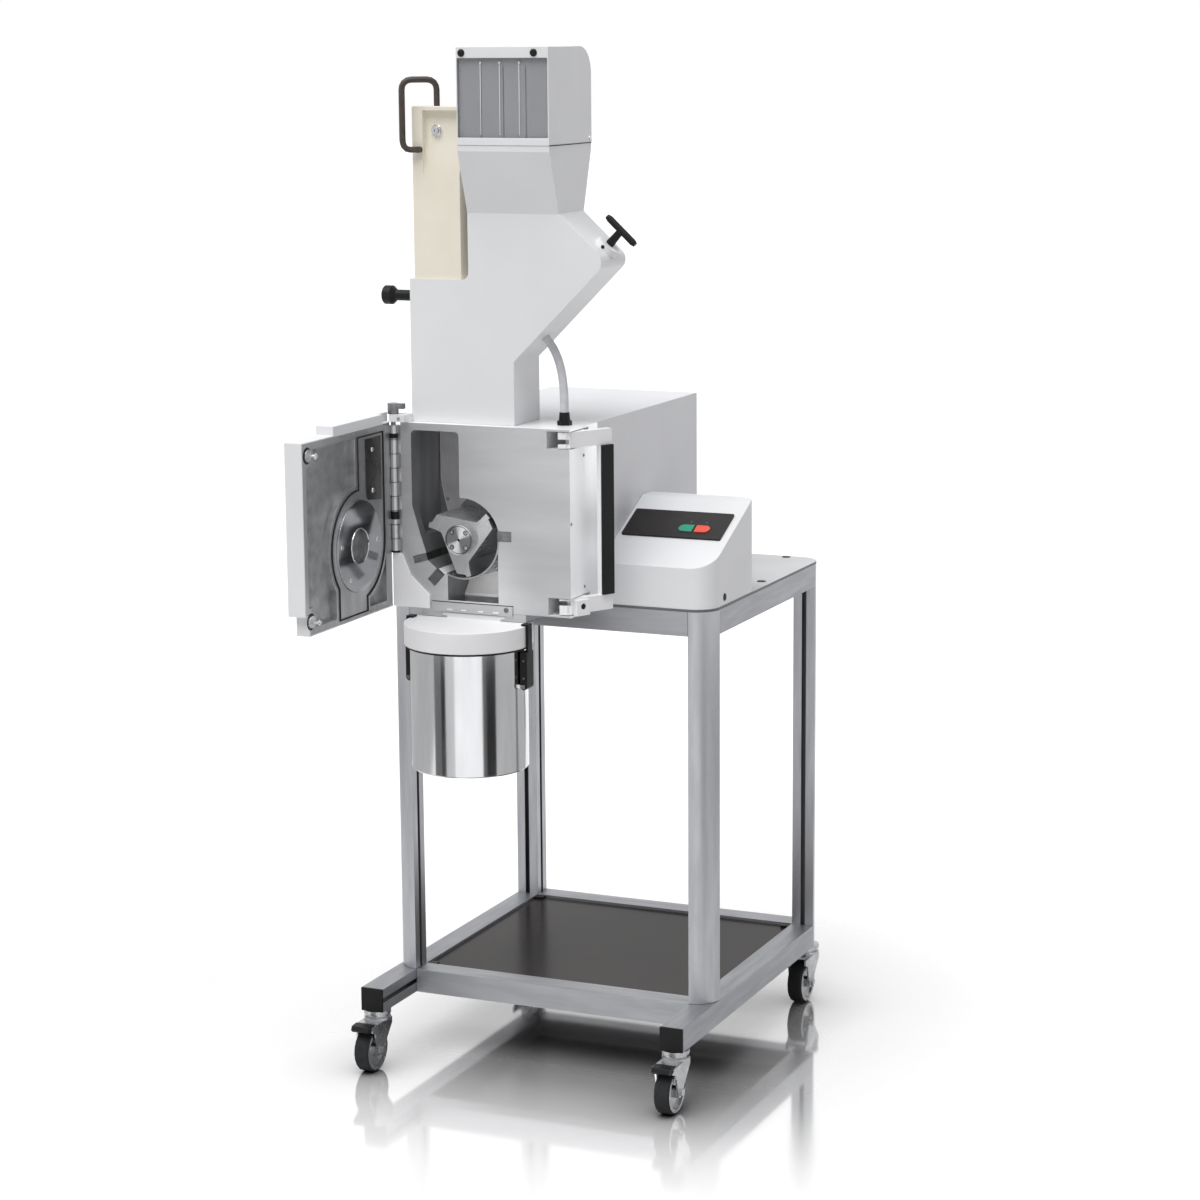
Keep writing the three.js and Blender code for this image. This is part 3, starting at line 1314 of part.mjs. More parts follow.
function yokeArm(bottom, studHeight, pinStart) {
  const inside = ARM_OUTSIDE - ARM_THICKNESS;
  const top = bottom + ARM_HEIGHT;
  const arm = join(
    box([inside, -ARM_FRONT, bottom], [ARM_OUTSIDE, ARM_LENGTH - ARM_FRONT, top]),
    box([0, -LUG_WEB / 2, bottom], [inside + OVERRUN, LUG_WEB / 2, top]),
    rod('z', [0, 0, bottom], ARM_HEIGHT, LUG_RADIUS, 20),
    rod('z', [0, 0, pinStart], PIVOT_PIN_LENGTH + OVERRUN, PIVOT_PIN_RADIUS, SMALL_ROUND),
  );
  const prongEnd = PRONG_FRONT - PRONG_THICKNESS;
  const head = STUD_HEAD_RADIUS + 3 * GAP;
  const slot = PRONG_SLOT_WIDTH / 2;
  const prong = box([-PRONG_TIP, -PRONG_FRONT, bottom], [OVERRUN, -prongEnd, top]);
  const slotCut = box(
    [-PRONG_TIP - OVERRUN, -PRONG_FRONT - PRONG_THICKNESS, studHeight - slot],
    [-PRONG_TIP + PRONG_SLOT_LENGTH, -prongEnd + OVERRUN, studHeight + slot],
  );
  const headCut = box(
    [-PRONG_TIP - PRONG_THICKNESS, -prongEnd, studHeight - head],
    [-PRONG_TIP + PRONG_SLOT_LENGTH, -prongEnd + PRONG_THICKNESS + OVERRUN, studHeight + head],
  );
  const turn = [0, 0, -YOKE_HOOK_ANGLE];
  return cut(join(arm, prong.rotate(turn)), slotCut.rotate(turn), headCut.rotate(turn));
}

function closingYoke() {
  const end = ARM_LENGTH - ARM_FRONT;
  const lowerTop = LOWER_ARM_BOTTOM + ARM_HEIGHT;
  const catchMiddle = -ARM_FRONT + CATCH_WIDTH;
  const catchBox = box(
    [ARM_OUTSIDE - GAP, catchMiddle - CATCH_WIDTH / 2, LOWER_ARM_BOTTOM - OVERRUN],
    [ARM_OUTSIDE + CATCH_THICKNESS, catchMiddle + CATCH_WIDTH / 2, lowerTop - OVERRUN],
  );
  const plugDepth = CATCH_PLUG_RADIUS / 2;
  const plug = rod(
    'x',
    [ARM_OUTSIDE + CATCH_THICKNESS - plugDepth, catchMiddle, LOWER_ARM_BOTTOM + ARM_HEIGHT / 2],
    CATCH_THICKNESS,
    CATCH_PLUG_RADIUS,
    SMALL_ROUND,
  );
  const bar = box(
    [ARM_OUTSIDE - YOKE_POST_THICKNESS, end - GRIP_WIDTH, lowerTop - OVERRUN],
    [ARM_OUTSIDE, end, UPPER_ARM_BOTTOM + OVERRUN],
  );
  const body = cut(
    join(
      yokeArm(UPPER_ARM_BOTTOM, UPPER_STUD_HEIGHT, UPPER_ARM_BOTTOM - PIVOT_PIN_LENGTH),
      yokeArm(LOWER_ARM_BOTTOM, LOWER_STUD_HEIGHT, lowerTop - OVERRUN),
      bar,
      catchBox,
    ),
    plug,
  );
  return piece('closing_yoke', body, whitePaint);
}

function yokeGrip() {
  const end = ARM_LENGTH - ARM_FRONT;
  const low = [ARM_OUTSIDE + GAP, end - GRIP_WIDTH, LOWER_ARM_BOTTOM + ARM_HEIGHT];
  const high = [ARM_OUTSIDE + GAP + GRIP_THICKNESS, end, UPPER_ARM_BOTTOM];
  return piece('yoke_grip', box(low, high), blackPlastic);
}

function yoke() {
  const holder = group(PIVOT_RIGHT, PIVOT_BEHIND, 0, closingYoke(), yokeGrip());
  holder.rotation.z = YOKE_REST_ANGLE * DEGREE;
  return holder;
}

// Hopper

function hopperOutline() {
  return [
    [-HOPPER_LEFT, BLOCK_TOP + GAP],
    [NECK_RIGHT, BLOCK_TOP + GAP],
    [NECK_RIGHT, NECK_HEIGHT],
    [APEX_RIGHT, APEX_HEIGHT, APEX_CORNER],
    [CHUTE_RIGHT, SHOULDER_HEIGHT],
    [CHUTE_RIGHT, BAND_TOP],
    [-CHUTE_LEFT, BAND_TOP],
    [-CHUTE_LEFT, DUCT_TOP, DUCT_CORNER],
    [-HOPPER_LEFT, DUCT_TOP],
  ];
}

function hopperSide() {
  const back = HOPPER_FRONT + HOPPER_DEPTH;
  const bottom = BLOCK_TOP + GAP;
  return [
    [HOPPER_FRONT, bottom],
    [back, bottom],
    [back, TAPER_BOTTOM],
    [BAND_BACK, TAPER_TOP],
    [BAND_BACK, BAND_TOP],
    [-BAND_FRONT, BAND_TOP],
    [-BAND_FRONT, TAPER_TOP],
    [HOPPER_FRONT, TAPER_BOTTOM],
  ];
}

// The space inside: the outline moved in by the wall, open at the top and the bottom
function hopperSpace() {
  const bottom = BLOCK_TOP - OVERRUN;
  const front = inset(hopperOutline(), HOPPER_WALL);
  const side = inset(hopperSide(), HOPPER_WALL);
  const stretch = (points, low, high) => points.map(([u, v, radius]) => {
    if (v < low) return [u, bottom, radius];
    if (v > high) return [u, BAND_TOP + OVERRUN, radius];
    return [u, v, radius];
  });
  const low = NECK_HEIGHT - HOPPER_WALL * 2;
  const high = TAPER_TOP + HOPPER_WALL;
  const across = prism('y', rounded(stretch(front, low, high)), -BAND_FRONT - OVERRUN, BAND_BACK + OVERRUN);
  return across.intersect(prism('x', stretch(side, low, high), -HOPPER_LEFT, APEX_RIGHT));
}

// The sloping guide that leads from the neck to the feed hole of the block
function hopperGuide() {
  const bottom = BLOCK_TOP + GAP;
  const outline = [
    [NECK_RIGHT, NECK_HEIGHT - HOPPER_WALL],
    [THROAT_RIGHT_X, bottom + HOPPER_WALL],
    [THROAT_RIGHT_X, bottom],
    [THROAT_RIGHT_X + 2 * HOPPER_WALL, bottom],
    [NECK_RIGHT, NECK_HEIGHT - 3 * HOPPER_WALL],
  ];
  return prism('y', outline, HOPPER_FRONT, HOPPER_FRONT + HOPPER_DEPTH);
}

// A frame of reference on the upper slope: its middle, its direction and its normal, in x and z
function slopeStation() {
  const along = new THREE.Vector2(APEX_RIGHT - CHUTE_RIGHT, APEX_HEIGHT - SHOULDER_HEIGHT).normalize();
  const foot = new THREE.Vector2(CHUTE_RIGHT, SHOULDER_HEIGHT).addScaledVector(along, HANDLE_STATION);
  return { along, foot, angle: Math.atan2(along.y, along.x) };
}

// Moves a solid made round a vertical axis so that it stands on the upper slope
function ontoSlope(solid) {
  const { foot, angle } = slopeStation();
  return moved(solid.rotate([0, -angle / DEGREE, 0]), foot.x, HANDLE_BEHIND, foot.y);
}

function hopperBody() {
  const outer = prism('y', rounded(hopperOutline()), -BAND_FRONT, BAND_BACK)
    .intersect(prism('x', hopperSide(), -HOPPER_LEFT - OVERRUN, APEX_RIGHT + OVERRUN));
  const plungerHole = box(
    [-PLUNGER_LEFT - GAP, PLUNGER_FRONT - GAP, DUCT_TOP - 2 * HOPPER_WALL],
    [-PLUNGER_LEFT + PLUNGER_WIDTH + GAP, PLUNGER_FRONT + PLUNGER_DEPTH + GAP, DUCT_TOP + OVERRUN],
  );
  const indexStart = [-HOPPER_LEFT - OVERRUN, INDEX_BEHIND, INDEX_HEIGHT];
  const indexHole = rod('x', indexStart, HOPPER_WALL + 2 * OVERRUN, INDEX_PIN_RADIUS + GAP, 12);
  const bossTopRadius = BOSS_RADIUS - HOPPER_WALL;
  const boss = ontoSlope(rod('z', [0, 0, -HOPPER_WALL / 2], BOSS_HEIGHT, BOSS_RADIUS, 24, bossTopRadius));
  const clampHole = ontoSlope(rod('z', [0, 0, -BOSS_HEIGHT], 3 * BOSS_HEIGHT, CLAMP_PIN_RADIUS + GAP, 12));
  const body = cut(
    join(cut(outer, hopperSpace()), hopperGuide().intersect(outer), boss),
    plungerHole,
    indexHole,
    clampHole,
  );
  return piece('hopper_body', body, whitePaint);
}

function hoodSide(distance) {
  return rounded(inset([
    [-HOOD_FRONT, BAND_TOP + GAP],
    [HOOD_BACK, BAND_TOP + GAP],
    [HOOD_BACK, HOOD_TOP, HOOD_CORNER],
    [-HOOD_FRONT, HOOD_TOP],
  ], distance), 8);
}

function hopperHood() {
  const wall = HOPPER_WALL;
  const bottom = BAND_TOP + GAP;
  const mouthBottom = BAND_TOP + HOOD_SILL;
  const mouthTop = HOOD_TOP - HOOD_LIP;
  const inner = hoodSide(wall).map(([y, z]) => (z < bottom + 2 * wall ? [y, bottom - OVERRUN] : [y, z]));
  const body = cut(
    prism('x', hoodSide(0), -CHUTE_LEFT, CHUTE_RIGHT),
    prism('x', inner, -CHUTE_LEFT + wall, CHUTE_RIGHT - wall),
    box(
      [-CHUTE_LEFT + wall, -HOOD_FRONT - OVERRUN, mouthBottom],
      [CHUTE_RIGHT - wall, -HOOD_FRONT + 2 * wall, mouthTop],
    ),
  );
  return piece('hopper_hood', body, whitePaint);
}

// Hanging strips just inside the mouth, joined by their hem
function hopperCurtain() {
  const left = -CHUTE_LEFT + HOPPER_WALL + GAP;
  const right = CHUTE_RIGHT - HOPPER_WALL - GAP;
  const front = -HOOD_FRONT + CURTAIN_SETBACK;
  const back = front + CURTAIN_THICKNESS;
  const bottom = BAND_TOP + HOOD_SILL / 2;
  const top = HOOD_TOP - HOPPER_WALL - GAP;
  const pitch = (right - left) / CURTAIN_STRIPS;
  const slits = [];
  for (let i = 1; i < CURTAIN_STRIPS; i += 1) {
    const x = left + i * pitch;
    slits.push(box(
      [x - CURTAIN_SLIT / 2, front - OVERRUN, bottom - OVERRUN],
      [x + CURTAIN_SLIT / 2, back + OVERRUN, top - HOOD_LIP - CURTAIN_HEM],
    ));
  }
  return piece('hopper_curtain', cut(box([left, front, bottom], [right, back, top]), ...slits), clearStrip);
}

// The ends of the clamp's bar as a share of its radius
const handleEndShare = 0.7;

// Handle of the clamping screw on the slope of the hopper, with z along the screw
function tHandle() {
  const { foot, angle } = slopeStation();
  const start = BOSS_HEIGHT - HOPPER_WALL / 2 + GAP;
  const top = start + HANDLE_SHANK_LENGTH - BOSS_HEIGHT + HANDLE_BAR_RADIUS;
  const barStart = -HANDLE_BAR_LENGTH / 2 + HANDLE_BAR_RADIUS;
  const end = HANDLE_BAR_RADIUS * handleEndShare;
  const barLength = HANDLE_BAR_LENGTH - 2 * HANDLE_BAR_RADIUS;
  const body = join(
    rod('z', [0, 0, start - BOSS_HEIGHT + OVERRUN], BOSS_HEIGHT, CLAMP_PIN_RADIUS, 12),
    rod('z', [0, 0, start], top - start, HANDLE_SHANK_RADIUS, 20, HANDLE_BAR_RADIUS),
    rod('x', [barStart, 0, top], barLength, HANDLE_BAR_RADIUS, 16),
    rod('x', [-HANDLE_BAR_LENGTH / 2, 0, top], HANDLE_BAR_RADIUS, end, 16, HANDLE_BAR_RADIUS),
    rod('x', [-barStart, 0, top], HANDLE_BAR_RADIUS, HANDLE_BAR_RADIUS, 16, end),
  );
  const mesh = piece('t_handle', body, blackPlastic);
  mesh.position.set(foot.x, HANDLE_BEHIND, foot.y);
  mesh.rotation.y = -angle;
  return mesh;
}

// Plunger in the left duct, drawn up

function plungerBody() {
  const left = -PLUNGER_LEFT;
  const right = left + PLUNGER_WIDTH;
  const back = PLUNGER_FRONT + PLUNGER_DEPTH;
  const recess = [
    [PLUNGER_FRONT - OVERRUN, PLUNGER_TOP - RECESS_DROP],
    [PLUNGER_FRONT + RECESS_DEPTH, PLUNGER_TOP - RECESS_DROP],
    [PLUNGER_FRONT + RECESS_DEPTH, PLUNGER_TOP - RECESS_FLOOR],
    [PLUNGER_FRONT, PLUNGER_TOP - RECESS_FOOT],
    [PLUNGER_FRONT - OVERRUN, PLUNGER_TOP - RECESS_FOOT],
  ];
  const boltFront = PLUNGER_FRONT + RECESS_DEPTH - PLUNGER_BOLT_HEIGHT;
  const boltStart = [left + PLUNGER_BOLT_LEFT, boltFront, PLUNGER_TOP - PLUNGER_BOLT_DROP];
  const bolt = rod('y', boltStart, 2 * PLUNGER_BOLT_HEIGHT, PLUNGER_BOLT_RADIUS, 16);
  const body = join(
    cut(
      box([left, PLUNGER_FRONT, PLUNGER_BOTTOM], [right, back, PLUNGER_TOP]),
      prism('x', recess, left + RECESS_LEFT, right + OVERRUN),
    ),
    bolt,
  );
  return piece('plunger', body, ivoryPlastic);
}

// The round bar of the handle, from the top plate over the left edge and back to the front
function plungerHandle() {
  const top = new THREE.Vector3(
    -PLUNGER_LEFT + BAIL_TOP_LEFT, PLUNGER_FRONT + BAIL_TOP_BEHIND, PLUNGER_TOP + GAP,
  );
  const out = new THREE.Vector3(-PLUNGER_LEFT - BAIL_OUT_LEFT, PLUNGER_FRONT - BAIL_OUT_AHEAD, 0);
  const foot = new THREE.Vector3(-PLUNGER_LEFT + BAIL_FOOT_LEFT, PLUNGER_FRONT - GAP, 0);
  const high = PLUNGER_TOP + BAIL_RISE;
  const low = PLUNGER_TOP - BAIL_DROP;
  const corners = [
    top,
    new THREE.Vector3(top.x, top.y, high),
    new THREE.Vector3(out.x, out.y, high),
    new THREE.Vector3(out.x, out.y, low),
    new THREE.Vector3(foot.x, foot.y - BAIL_RADIUS, low),
    new THREE.Vector3(foot.x, foot.y, low),
  ];
  const path = new THREE.CurvePath();
  let from = corners[0];
  for (let i = 1; i < 4; i += 1) {
    const bend = i === 3 ? BAIL_BEND - GAP : BAIL_BEND;
    const before = corners[i].clone().add(corners[i - 1].clone().sub(corners[i]).setLength(bend));
    const reach = corners[i + 1].clone().sub(corners[i]);
    const after = corners[i].clone().add(reach.setLength(Math.min(bend, reach.length() / 2)));
    path.add(new THREE.LineCurve3(from, before));
    path.add(new THREE.QuadraticBezierCurve3(before, corners[i], after));
    from = after;
  }
  path.add(new THREE.LineCurve3(from, corners[4]));
  const bar = join(
    tube(path, BAIL_RADIUS, 8, 34),
    rod('y', [foot.x, foot.y - 2 * BAIL_RADIUS, low], 2 * BAIL_RADIUS, BAIL_RADIUS, 8),
  );
  return piece('plunger_handle', bar, brownCoat);
}

function indexKnob() {
  const start = -HOPPER_LEFT - GAP;
  const shankStart = [start - INDEX_SHANK_LENGTH, INDEX_BEHIND, INDEX_HEIGHT];
  const pinLength = HOPPER_WALL + GAP;
  const body = join(
    rod('x', [start - OVERRUN, INDEX_BEHIND, INDEX_HEIGHT], pinLength + OVERRUN, INDEX_PIN_RADIUS, 12),
    rod('x', shankStart, INDEX_SHANK_LENGTH, INDEX_SHANK_RADIUS, 20),
    turned('x', shankStart, [
      [0, -INDEX_HEAD_LENGTH],
      [INDEX_HEAD_RADIUS - OVERRUN, -INDEX_HEAD_LENGTH],
      [INDEX_HEAD_RADIUS, -INDEX_HEAD_LENGTH + OVERRUN],
      [INDEX_HEAD_RADIUS, -INDEX_HEAD_LENGTH / 3],
      [INDEX_SHANK_RADIUS, 0],
      [0, 0],
    ], 24),
  );
  return piece('index_knob', body, blackPlastic);
}

// Conduit and gland

function conduitGland() {
  const start = BLOCK_TOP + GAP;
  const body = join(
    rod('z', [GLAND_RIGHT, GLAND_BEHIND, start], GLAND_NUT, GLAND_RADIUS + OVERRUN, 6),
    rod('z', [GLAND_RIGHT, GLAND_BEHIND, start], GLAND_HEIGHT, GLAND_RADIUS, 20, GLAND_RADIUS - OVERRUN),
  );
  return piece('conduit_gland', body, blackPlastic);
}

function conduit() {
  const slope = new THREE.Vector2(APEX_RIGHT - NECK_RIGHT, APEX_HEIGHT - NECK_HEIGHT).normalize();
  const normal = new THREE.Vector3(slope.y, 0, -slope.x);
  const rise = ((CONDUIT_START_RIGHT - NECK_RIGHT) * slope.y) / slope.x;
  const wall = new THREE.Vector3(CONDUIT_START_RIGHT, CONDUIT_START_BEHIND, NECK_HEIGHT + rise);
  const start = wall.clone().addScaledVector(normal, GAP);
  const end = new THREE.Vector3(GLAND_RIGHT, GLAND_BEHIND, BLOCK_TOP + GLAND_HEIGHT + 2 * GAP);
  const curve = new THREE.CubicBezierCurve3(
    start,
    start.clone().addScaledVector(normal, CONDUIT_BOW),
    end.clone().add(new THREE.Vector3(0, 0, CONDUIT_BOW)),
    end,
  );
  return piece('conduit', tube(curve, CONDUIT_RADIUS, 12, 14), greyPaint);
}

// Collector, from the axis of its jar

const flangeBottom = LID_TOP + FLANGE_RISE;
const flangeTop = flangeBottom + FLANGE_THICKNESS;
const neckFront = COLLECTOR_AHEAD + BLOCK_FRONT + GAP;
const neckBack = neckFront + OUTLET_DEPTH + DUCT_NECK_WALL;

function collectorLid() {
  const ductHalf = DUCT_WIDTH / 2;
  const neckHalf = ductHalf + DUCT_NECK_WALL;
  const flangeHalf = neckHalf + FLANGE_WIDTH;
  const body = cut(
    join(
      rod('z', [0, 0, LID_BOTTOM], LID_TOP - LID_BOTTOM, LID_RADIUS, ROUND),
      box([-neckHalf, neckFront, LID_TOP - OVERRUN], [neckHalf, neckBack, flangeTop]),
      box([-flangeHalf, neckFront, flangeBottom], [flangeHalf, neckBack, flangeTop]),
    ),
    rod('z', [0, 0, LID_BOTTOM - OVERRUN], LID_RECESS + OVERRUN, JAR_RADIUS + GAP, ROUND),
    box(
      [-ductHalf, neckFront + DUCT_NECK_WALL, LID_BOTTOM],
      [ductHalf, neckFront + OUTLET_DEPTH - DUCT_NECK_WALL, flangeTop + OVERRUN],
    ),
  );
  return piece('collector_lid', body, whitePlastic);
}

function jarEars(side) {
  const pivot = side * (JAR_RADIUS + CLIP_PIVOT_REACH);
  const inner = CLIP_WIDTH / 2 + GAP;
  const outer = inner + CLIP_EAR_THICKNESS;
  const root = side * (JAR_RADIUS - 2 * JAR_WALL);
  const reach = pivot + (side * CLIP_EYE_RADIUS) / 2;
  const [low, high] = root < reach ? [root, reach] : [reach, root];
  const half = CLIP_EYE_RADIUS / 2;
  const ears = [[-outer, -inner], [inner, outer]].map(([from, to]) => box(
    [low, from, CLIP_PIVOT_HEIGHT - half],
    [high, to, CLIP_PIVOT_HEIGHT + half],
  ));
  return [...ears, rod('y', [pivot, -outer, CLIP_PIVOT_HEIGHT], 2 * outer, CLIP_PIN_RADIUS, 12)];
}

function collectorJar() {
  const inner = JAR_RADIUS - JAR_WALL;
  const top = LID_BOTTOM + LID_RECESS - GAP;
  const cup = turned('z', [0, 0, 0], [
    [0, JAR_BOTTOM],
    [JAR_RADIUS - JAR_WALL, JAR_BOTTOM],
    [JAR_RADIUS, JAR_BOTTOM + JAR_WALL],
    [JAR_RADIUS, top],
    [inner, top],
    [inner, JAR_BOTTOM + JAR_WALL],
    [0, JAR_BOTTOM + JAR_WALL],
  ]);
  const hollow = rod('z', [0, 0, JAR_BOTTOM + JAR_WALL], top - JAR_BOTTOM, inner, ROUND);
  const ears = cut(join(...jarEars(-1), ...jarEars(1)), hollow);
  return piece('collector_jar', join(cup, ears), brightSteel);
}

// A toggle clip on the jar that hooks over the edge of the lid
function collectorClip(name, side) {
  const half = CLIP_WIDTH / 2;
  const inner = -CLIP_EYE_RADIUS;
  const outer = inner + CLIP_THICKNESS;
  const bodyTop = CLIP_BODY_TOP - CLIP_PIVOT_HEIGHT;
  const armInner = LID_RADIUS + GAP - JAR_RADIUS - CLIP_PIVOT_REACH;
  const armOuter = armInner + CLIP_ARM_THICKNESS;
  const hookBottom = LID_TOP + GAP - CLIP_PIVOT_HEIGHT;
  const hookTop = hookBottom + CLIP_HOOK_HEIGHT;
  const armHalf = CLIP_ARM_WIDTH / 2;
  const hole = rod('y', [0, -half - OVERRUN, 0], 2 * (half + OVERRUN), CLIP_PIN_RADIUS + GAP, 12);
  const body = cut(
    join(
      rod('y', [0, -half, 0], CLIP_WIDTH, CLIP_EYE_RADIUS, 20),
      box([inner, -half, 0], [outer, half, bodyTop]),
      box([armInner, -armHalf, bodyTop - CLIP_THICKNESS], [armOuter, armHalf, hookTop]),
      box([armInner - CLIP_HOOK, -armHalf, hookBottom], [armOuter, armHalf, hookTop]),
    ),
    hole,
  );
  const mesh = piece(name, body, blackPlastic);
  mesh.position.set(side * (JAR_RADIUS + CLIP_PIVOT_REACH), 0, CLIP_PIVOT_HEIGHT);
  mesh.rotation.z = side < 0 ? Math.PI : 0;
  return mesh;
}

function collector() {
  return group(
    -COLLECTOR_LEFT, -COLLECTOR_AHEAD, 0,
    collectorLid(),
    collectorJar(),
    collectorClip('clip_left', -1),
    collectorClip('clip_right', 1),
  );
}

// Rails under the block that hold the flange of the collector, with the flap in front of them
function outletRails() {
  const neckHalf = DUCT_WIDTH / 2 + DUCT_NECK_WALL + GAP;
  const grooveHalf = neckHalf + FLANGE_WIDTH;
  const outerHalf = neckHalf + RAIL_WIDTH;
  const front = BLOCK_FRONT;
  const back = front + RAIL_LENGTH;
  const bottom = flangeBottom - GAP - RAIL_LIP;
  const top = SEAT - GAP;
  const slotEnd = neckBack - COLLECTOR_AHEAD + GAP;
  const rails = cut(
    box([-outerHalf, front, bottom], [outerHalf, back, top]),
    box([-neckHalf, front - OVERRUN, bottom - OVERRUN], [neckHalf, slotEnd, top + OVERRUN]),
    box([-grooveHalf, front - OVERRUN, flangeBottom - GAP], [grooveHalf, slotEnd, flangeTop + GAP]),
  );
  const body = moved(rails, -COLLECTOR_LEFT, 0, 0);
  const flapBack = front - GAP;
  const flap = box([-FLAP_LEFT, flapBack - FLAP_THICKNESS, FLAP_BOTTOM], [FLAP_RIGHT, flapBack, FLAP_TOP]);
  const tabs = [-FLAP_LEFT, FLAP_RIGHT - FLAP_THICKNESS].map((x) => box(
    [x, flapBack - FLAP_THICKNESS, FLAP_BOTTOM], [x + FLAP_THICKNESS, front + OVERRUN, top],
  ));
  return piece('outlet_rails', join(body, flap, ...tabs), darkSteel);
}

function mill() {
  const whole = new THREE.Group();
  whole.add(
    stand(),
    castors(),
    baseTray(),
    controlHousing(),
    controlPanel(),
    motorHousing(),
    gearMotor(),
    mainsInlet(),
    chamberBlock(),
    cornerCover(),
    bottomSieve(),
    ...cutters.map(fixedCutter),
    rotor(),
    door(),
    hingePin(),
    yoke(),
    hopperBody(),
    hopperHood(),
    hopperCurtain(),
    tHandle(),
    plungerBody(),
    plungerHandle(),
    indexKnob(),
    conduit(),
    conduitGland(),
    collector(),
    outletRails(),
  );
  whole.updateMatrixWorld(true);
  const bounds = new THREE.Box3().setFromObject(whole, true);
  const centre = bounds.getCenter(new THREE.Vector3());
  return group(-centre.x, -centre.y, -bounds.min.z, whole);
}

export default mill();
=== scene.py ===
"""Dresses a floor standing cutting mill: finishes, screws, seals, floor, lamps and camera."""

from __future__ import annotations

import json
import logging
import math
from dataclasses import dataclass
from enum import Enum, IntEnum
from typing import Callable, Sequence

import bmesh
import bpy
from bmesh.types import BMEdge, BMesh, BMFace, BMVert
from mathutils import Euler, Matrix, Vector

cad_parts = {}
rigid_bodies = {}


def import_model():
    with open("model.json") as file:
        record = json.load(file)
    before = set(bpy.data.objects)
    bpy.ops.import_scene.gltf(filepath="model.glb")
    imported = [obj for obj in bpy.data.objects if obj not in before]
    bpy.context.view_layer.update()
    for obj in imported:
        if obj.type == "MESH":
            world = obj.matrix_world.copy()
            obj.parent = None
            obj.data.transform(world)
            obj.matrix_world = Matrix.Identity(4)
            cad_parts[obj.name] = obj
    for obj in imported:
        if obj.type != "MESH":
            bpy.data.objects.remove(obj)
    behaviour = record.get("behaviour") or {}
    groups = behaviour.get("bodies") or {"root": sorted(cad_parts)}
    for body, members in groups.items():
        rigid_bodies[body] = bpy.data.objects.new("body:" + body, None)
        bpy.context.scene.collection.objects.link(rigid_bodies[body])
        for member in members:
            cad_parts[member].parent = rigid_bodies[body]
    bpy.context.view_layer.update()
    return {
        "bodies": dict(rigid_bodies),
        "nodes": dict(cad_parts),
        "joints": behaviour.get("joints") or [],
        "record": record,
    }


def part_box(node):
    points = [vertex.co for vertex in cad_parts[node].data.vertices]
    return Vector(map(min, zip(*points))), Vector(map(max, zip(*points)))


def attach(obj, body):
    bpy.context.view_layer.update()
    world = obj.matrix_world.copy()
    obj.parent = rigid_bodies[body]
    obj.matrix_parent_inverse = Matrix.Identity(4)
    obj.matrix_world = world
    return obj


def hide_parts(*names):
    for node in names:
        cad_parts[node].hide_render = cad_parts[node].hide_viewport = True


log = logging.getLogger("mill")

# Places in millimetres: x from the middle, y from the front of the feet, z from the floor
MM = 0.001
FRONT_SHIFT = 178.0
HINGE_X, HINGE_Y, HINGE_TOP = -200.8, -13.0, 1092.5
BORE_Z = 914.2

# Directions, and turns of a pattern in degrees
UP, FRONT, BACK = (0, 0, 1), (0, -1, 0), (0, 1, 0)
RIGHT, LEFT = (1, 0, 0), (-1, 0, 0)
ACROSS, ALONG, UPRIGHT = (0.0, 0.0, 0.0), (0.0, 0.0, 90.0), (0.0, 90.0, 0.0)

# Looks that all finishes share
TONE_RANGE = {"From Min": 0.3, "From Max": 0.7}
LEAST_ROUGHNESS = 0.02
BUMP_STRENGTH = 0.6

# Cleaning and rounding of solids: metres, degrees, the least cosine of a face that is square
# to an axis, and the least length of an edge in widths of its round
MERGE_DISTANCE = 0.000002
FLAT_ANGLE = 0.4
SHARP_ANGLE = 28.0
SMALL_SMOOTH = 35.0
SQUARE = 0.9
LEAST_EDGE = 2.5
FILLET_STEPS = 6

# Screw heads and blocks: steps, and shares of the radius, the height or the least side
HEAD_STEPS = 20
HEAD_TAPER = 0.86
HEAD_RIM = 0.34
SOCKET_WALL = 0.04
SOCKET_DEPTH = 0.7
DOME_ROUND, DOME_STEPS = 0.6, 4
BLOCK_ROUND, BLOCK_STEPS = 0.15, 2

Colour = tuple[float, float, float, float]
Outline = list[tuple[float, float]]
FaceTest = Callable[[BMFace], int]
EdgeTest = Callable[[BMEdge], bool]


def at(x: float, y: float, z: float) -> Vector:
    """Gives the place x mm right of the middle, y mm behind the front of the feet and z mm up."""
    return Vector((x, y - FRONT_SHIFT, z)) * MM


def facing(origin: Vector, normal: Sequence[float]) -> Matrix:
    """Gives the placement at an origin in metres whose z axis looks along a normal."""
    turn = Vector(normal).to_track_quat("Z", "Y").to_matrix().to_4x4()
    return Matrix.Translation(origin) @ turn


def on_plane(place: Matrix, points: Sequence[Vector]) -> Outline:
    """Gives the coordinates of points on a placed plane, in its millimetres."""
    return [tuple((place.inverted() @ point).to_2d() / MM) for point in points]


def arc(cx: float, cy: float, radius: float, start: float, end: float, steps: int) -> Outline:
    """Gives points on an arc.

    Args:
        cx: Middle, first coordinate.
        cy: Middle, second coordinate.
        radius: Radius of the arc.
        start: First angle in degrees.
        end: Last angle in degrees.
        steps: Number of chords.

    Returns:
        The points.
    """
    angles = [math.radians(start + (end - start) * i / steps) for i in range(steps + 1)]
    return [(cx + radius * math.cos(a), cy + radius * math.sin(a)) for a in angles]


def linear(value: int) -> Colour:
    """Turns a written colour such as 0xAABBCC into the linear colour that a shader takes."""
    parts = [(value >> shift & 255) / 255 for shift in (16, 8, 0)]
    red, green, blue = (p / 12.92 if p <= 0.04045 else ((p + 0.055) / 1.055) ** 2.4 for p in parts)
    return (red, green, blue, 1.0)


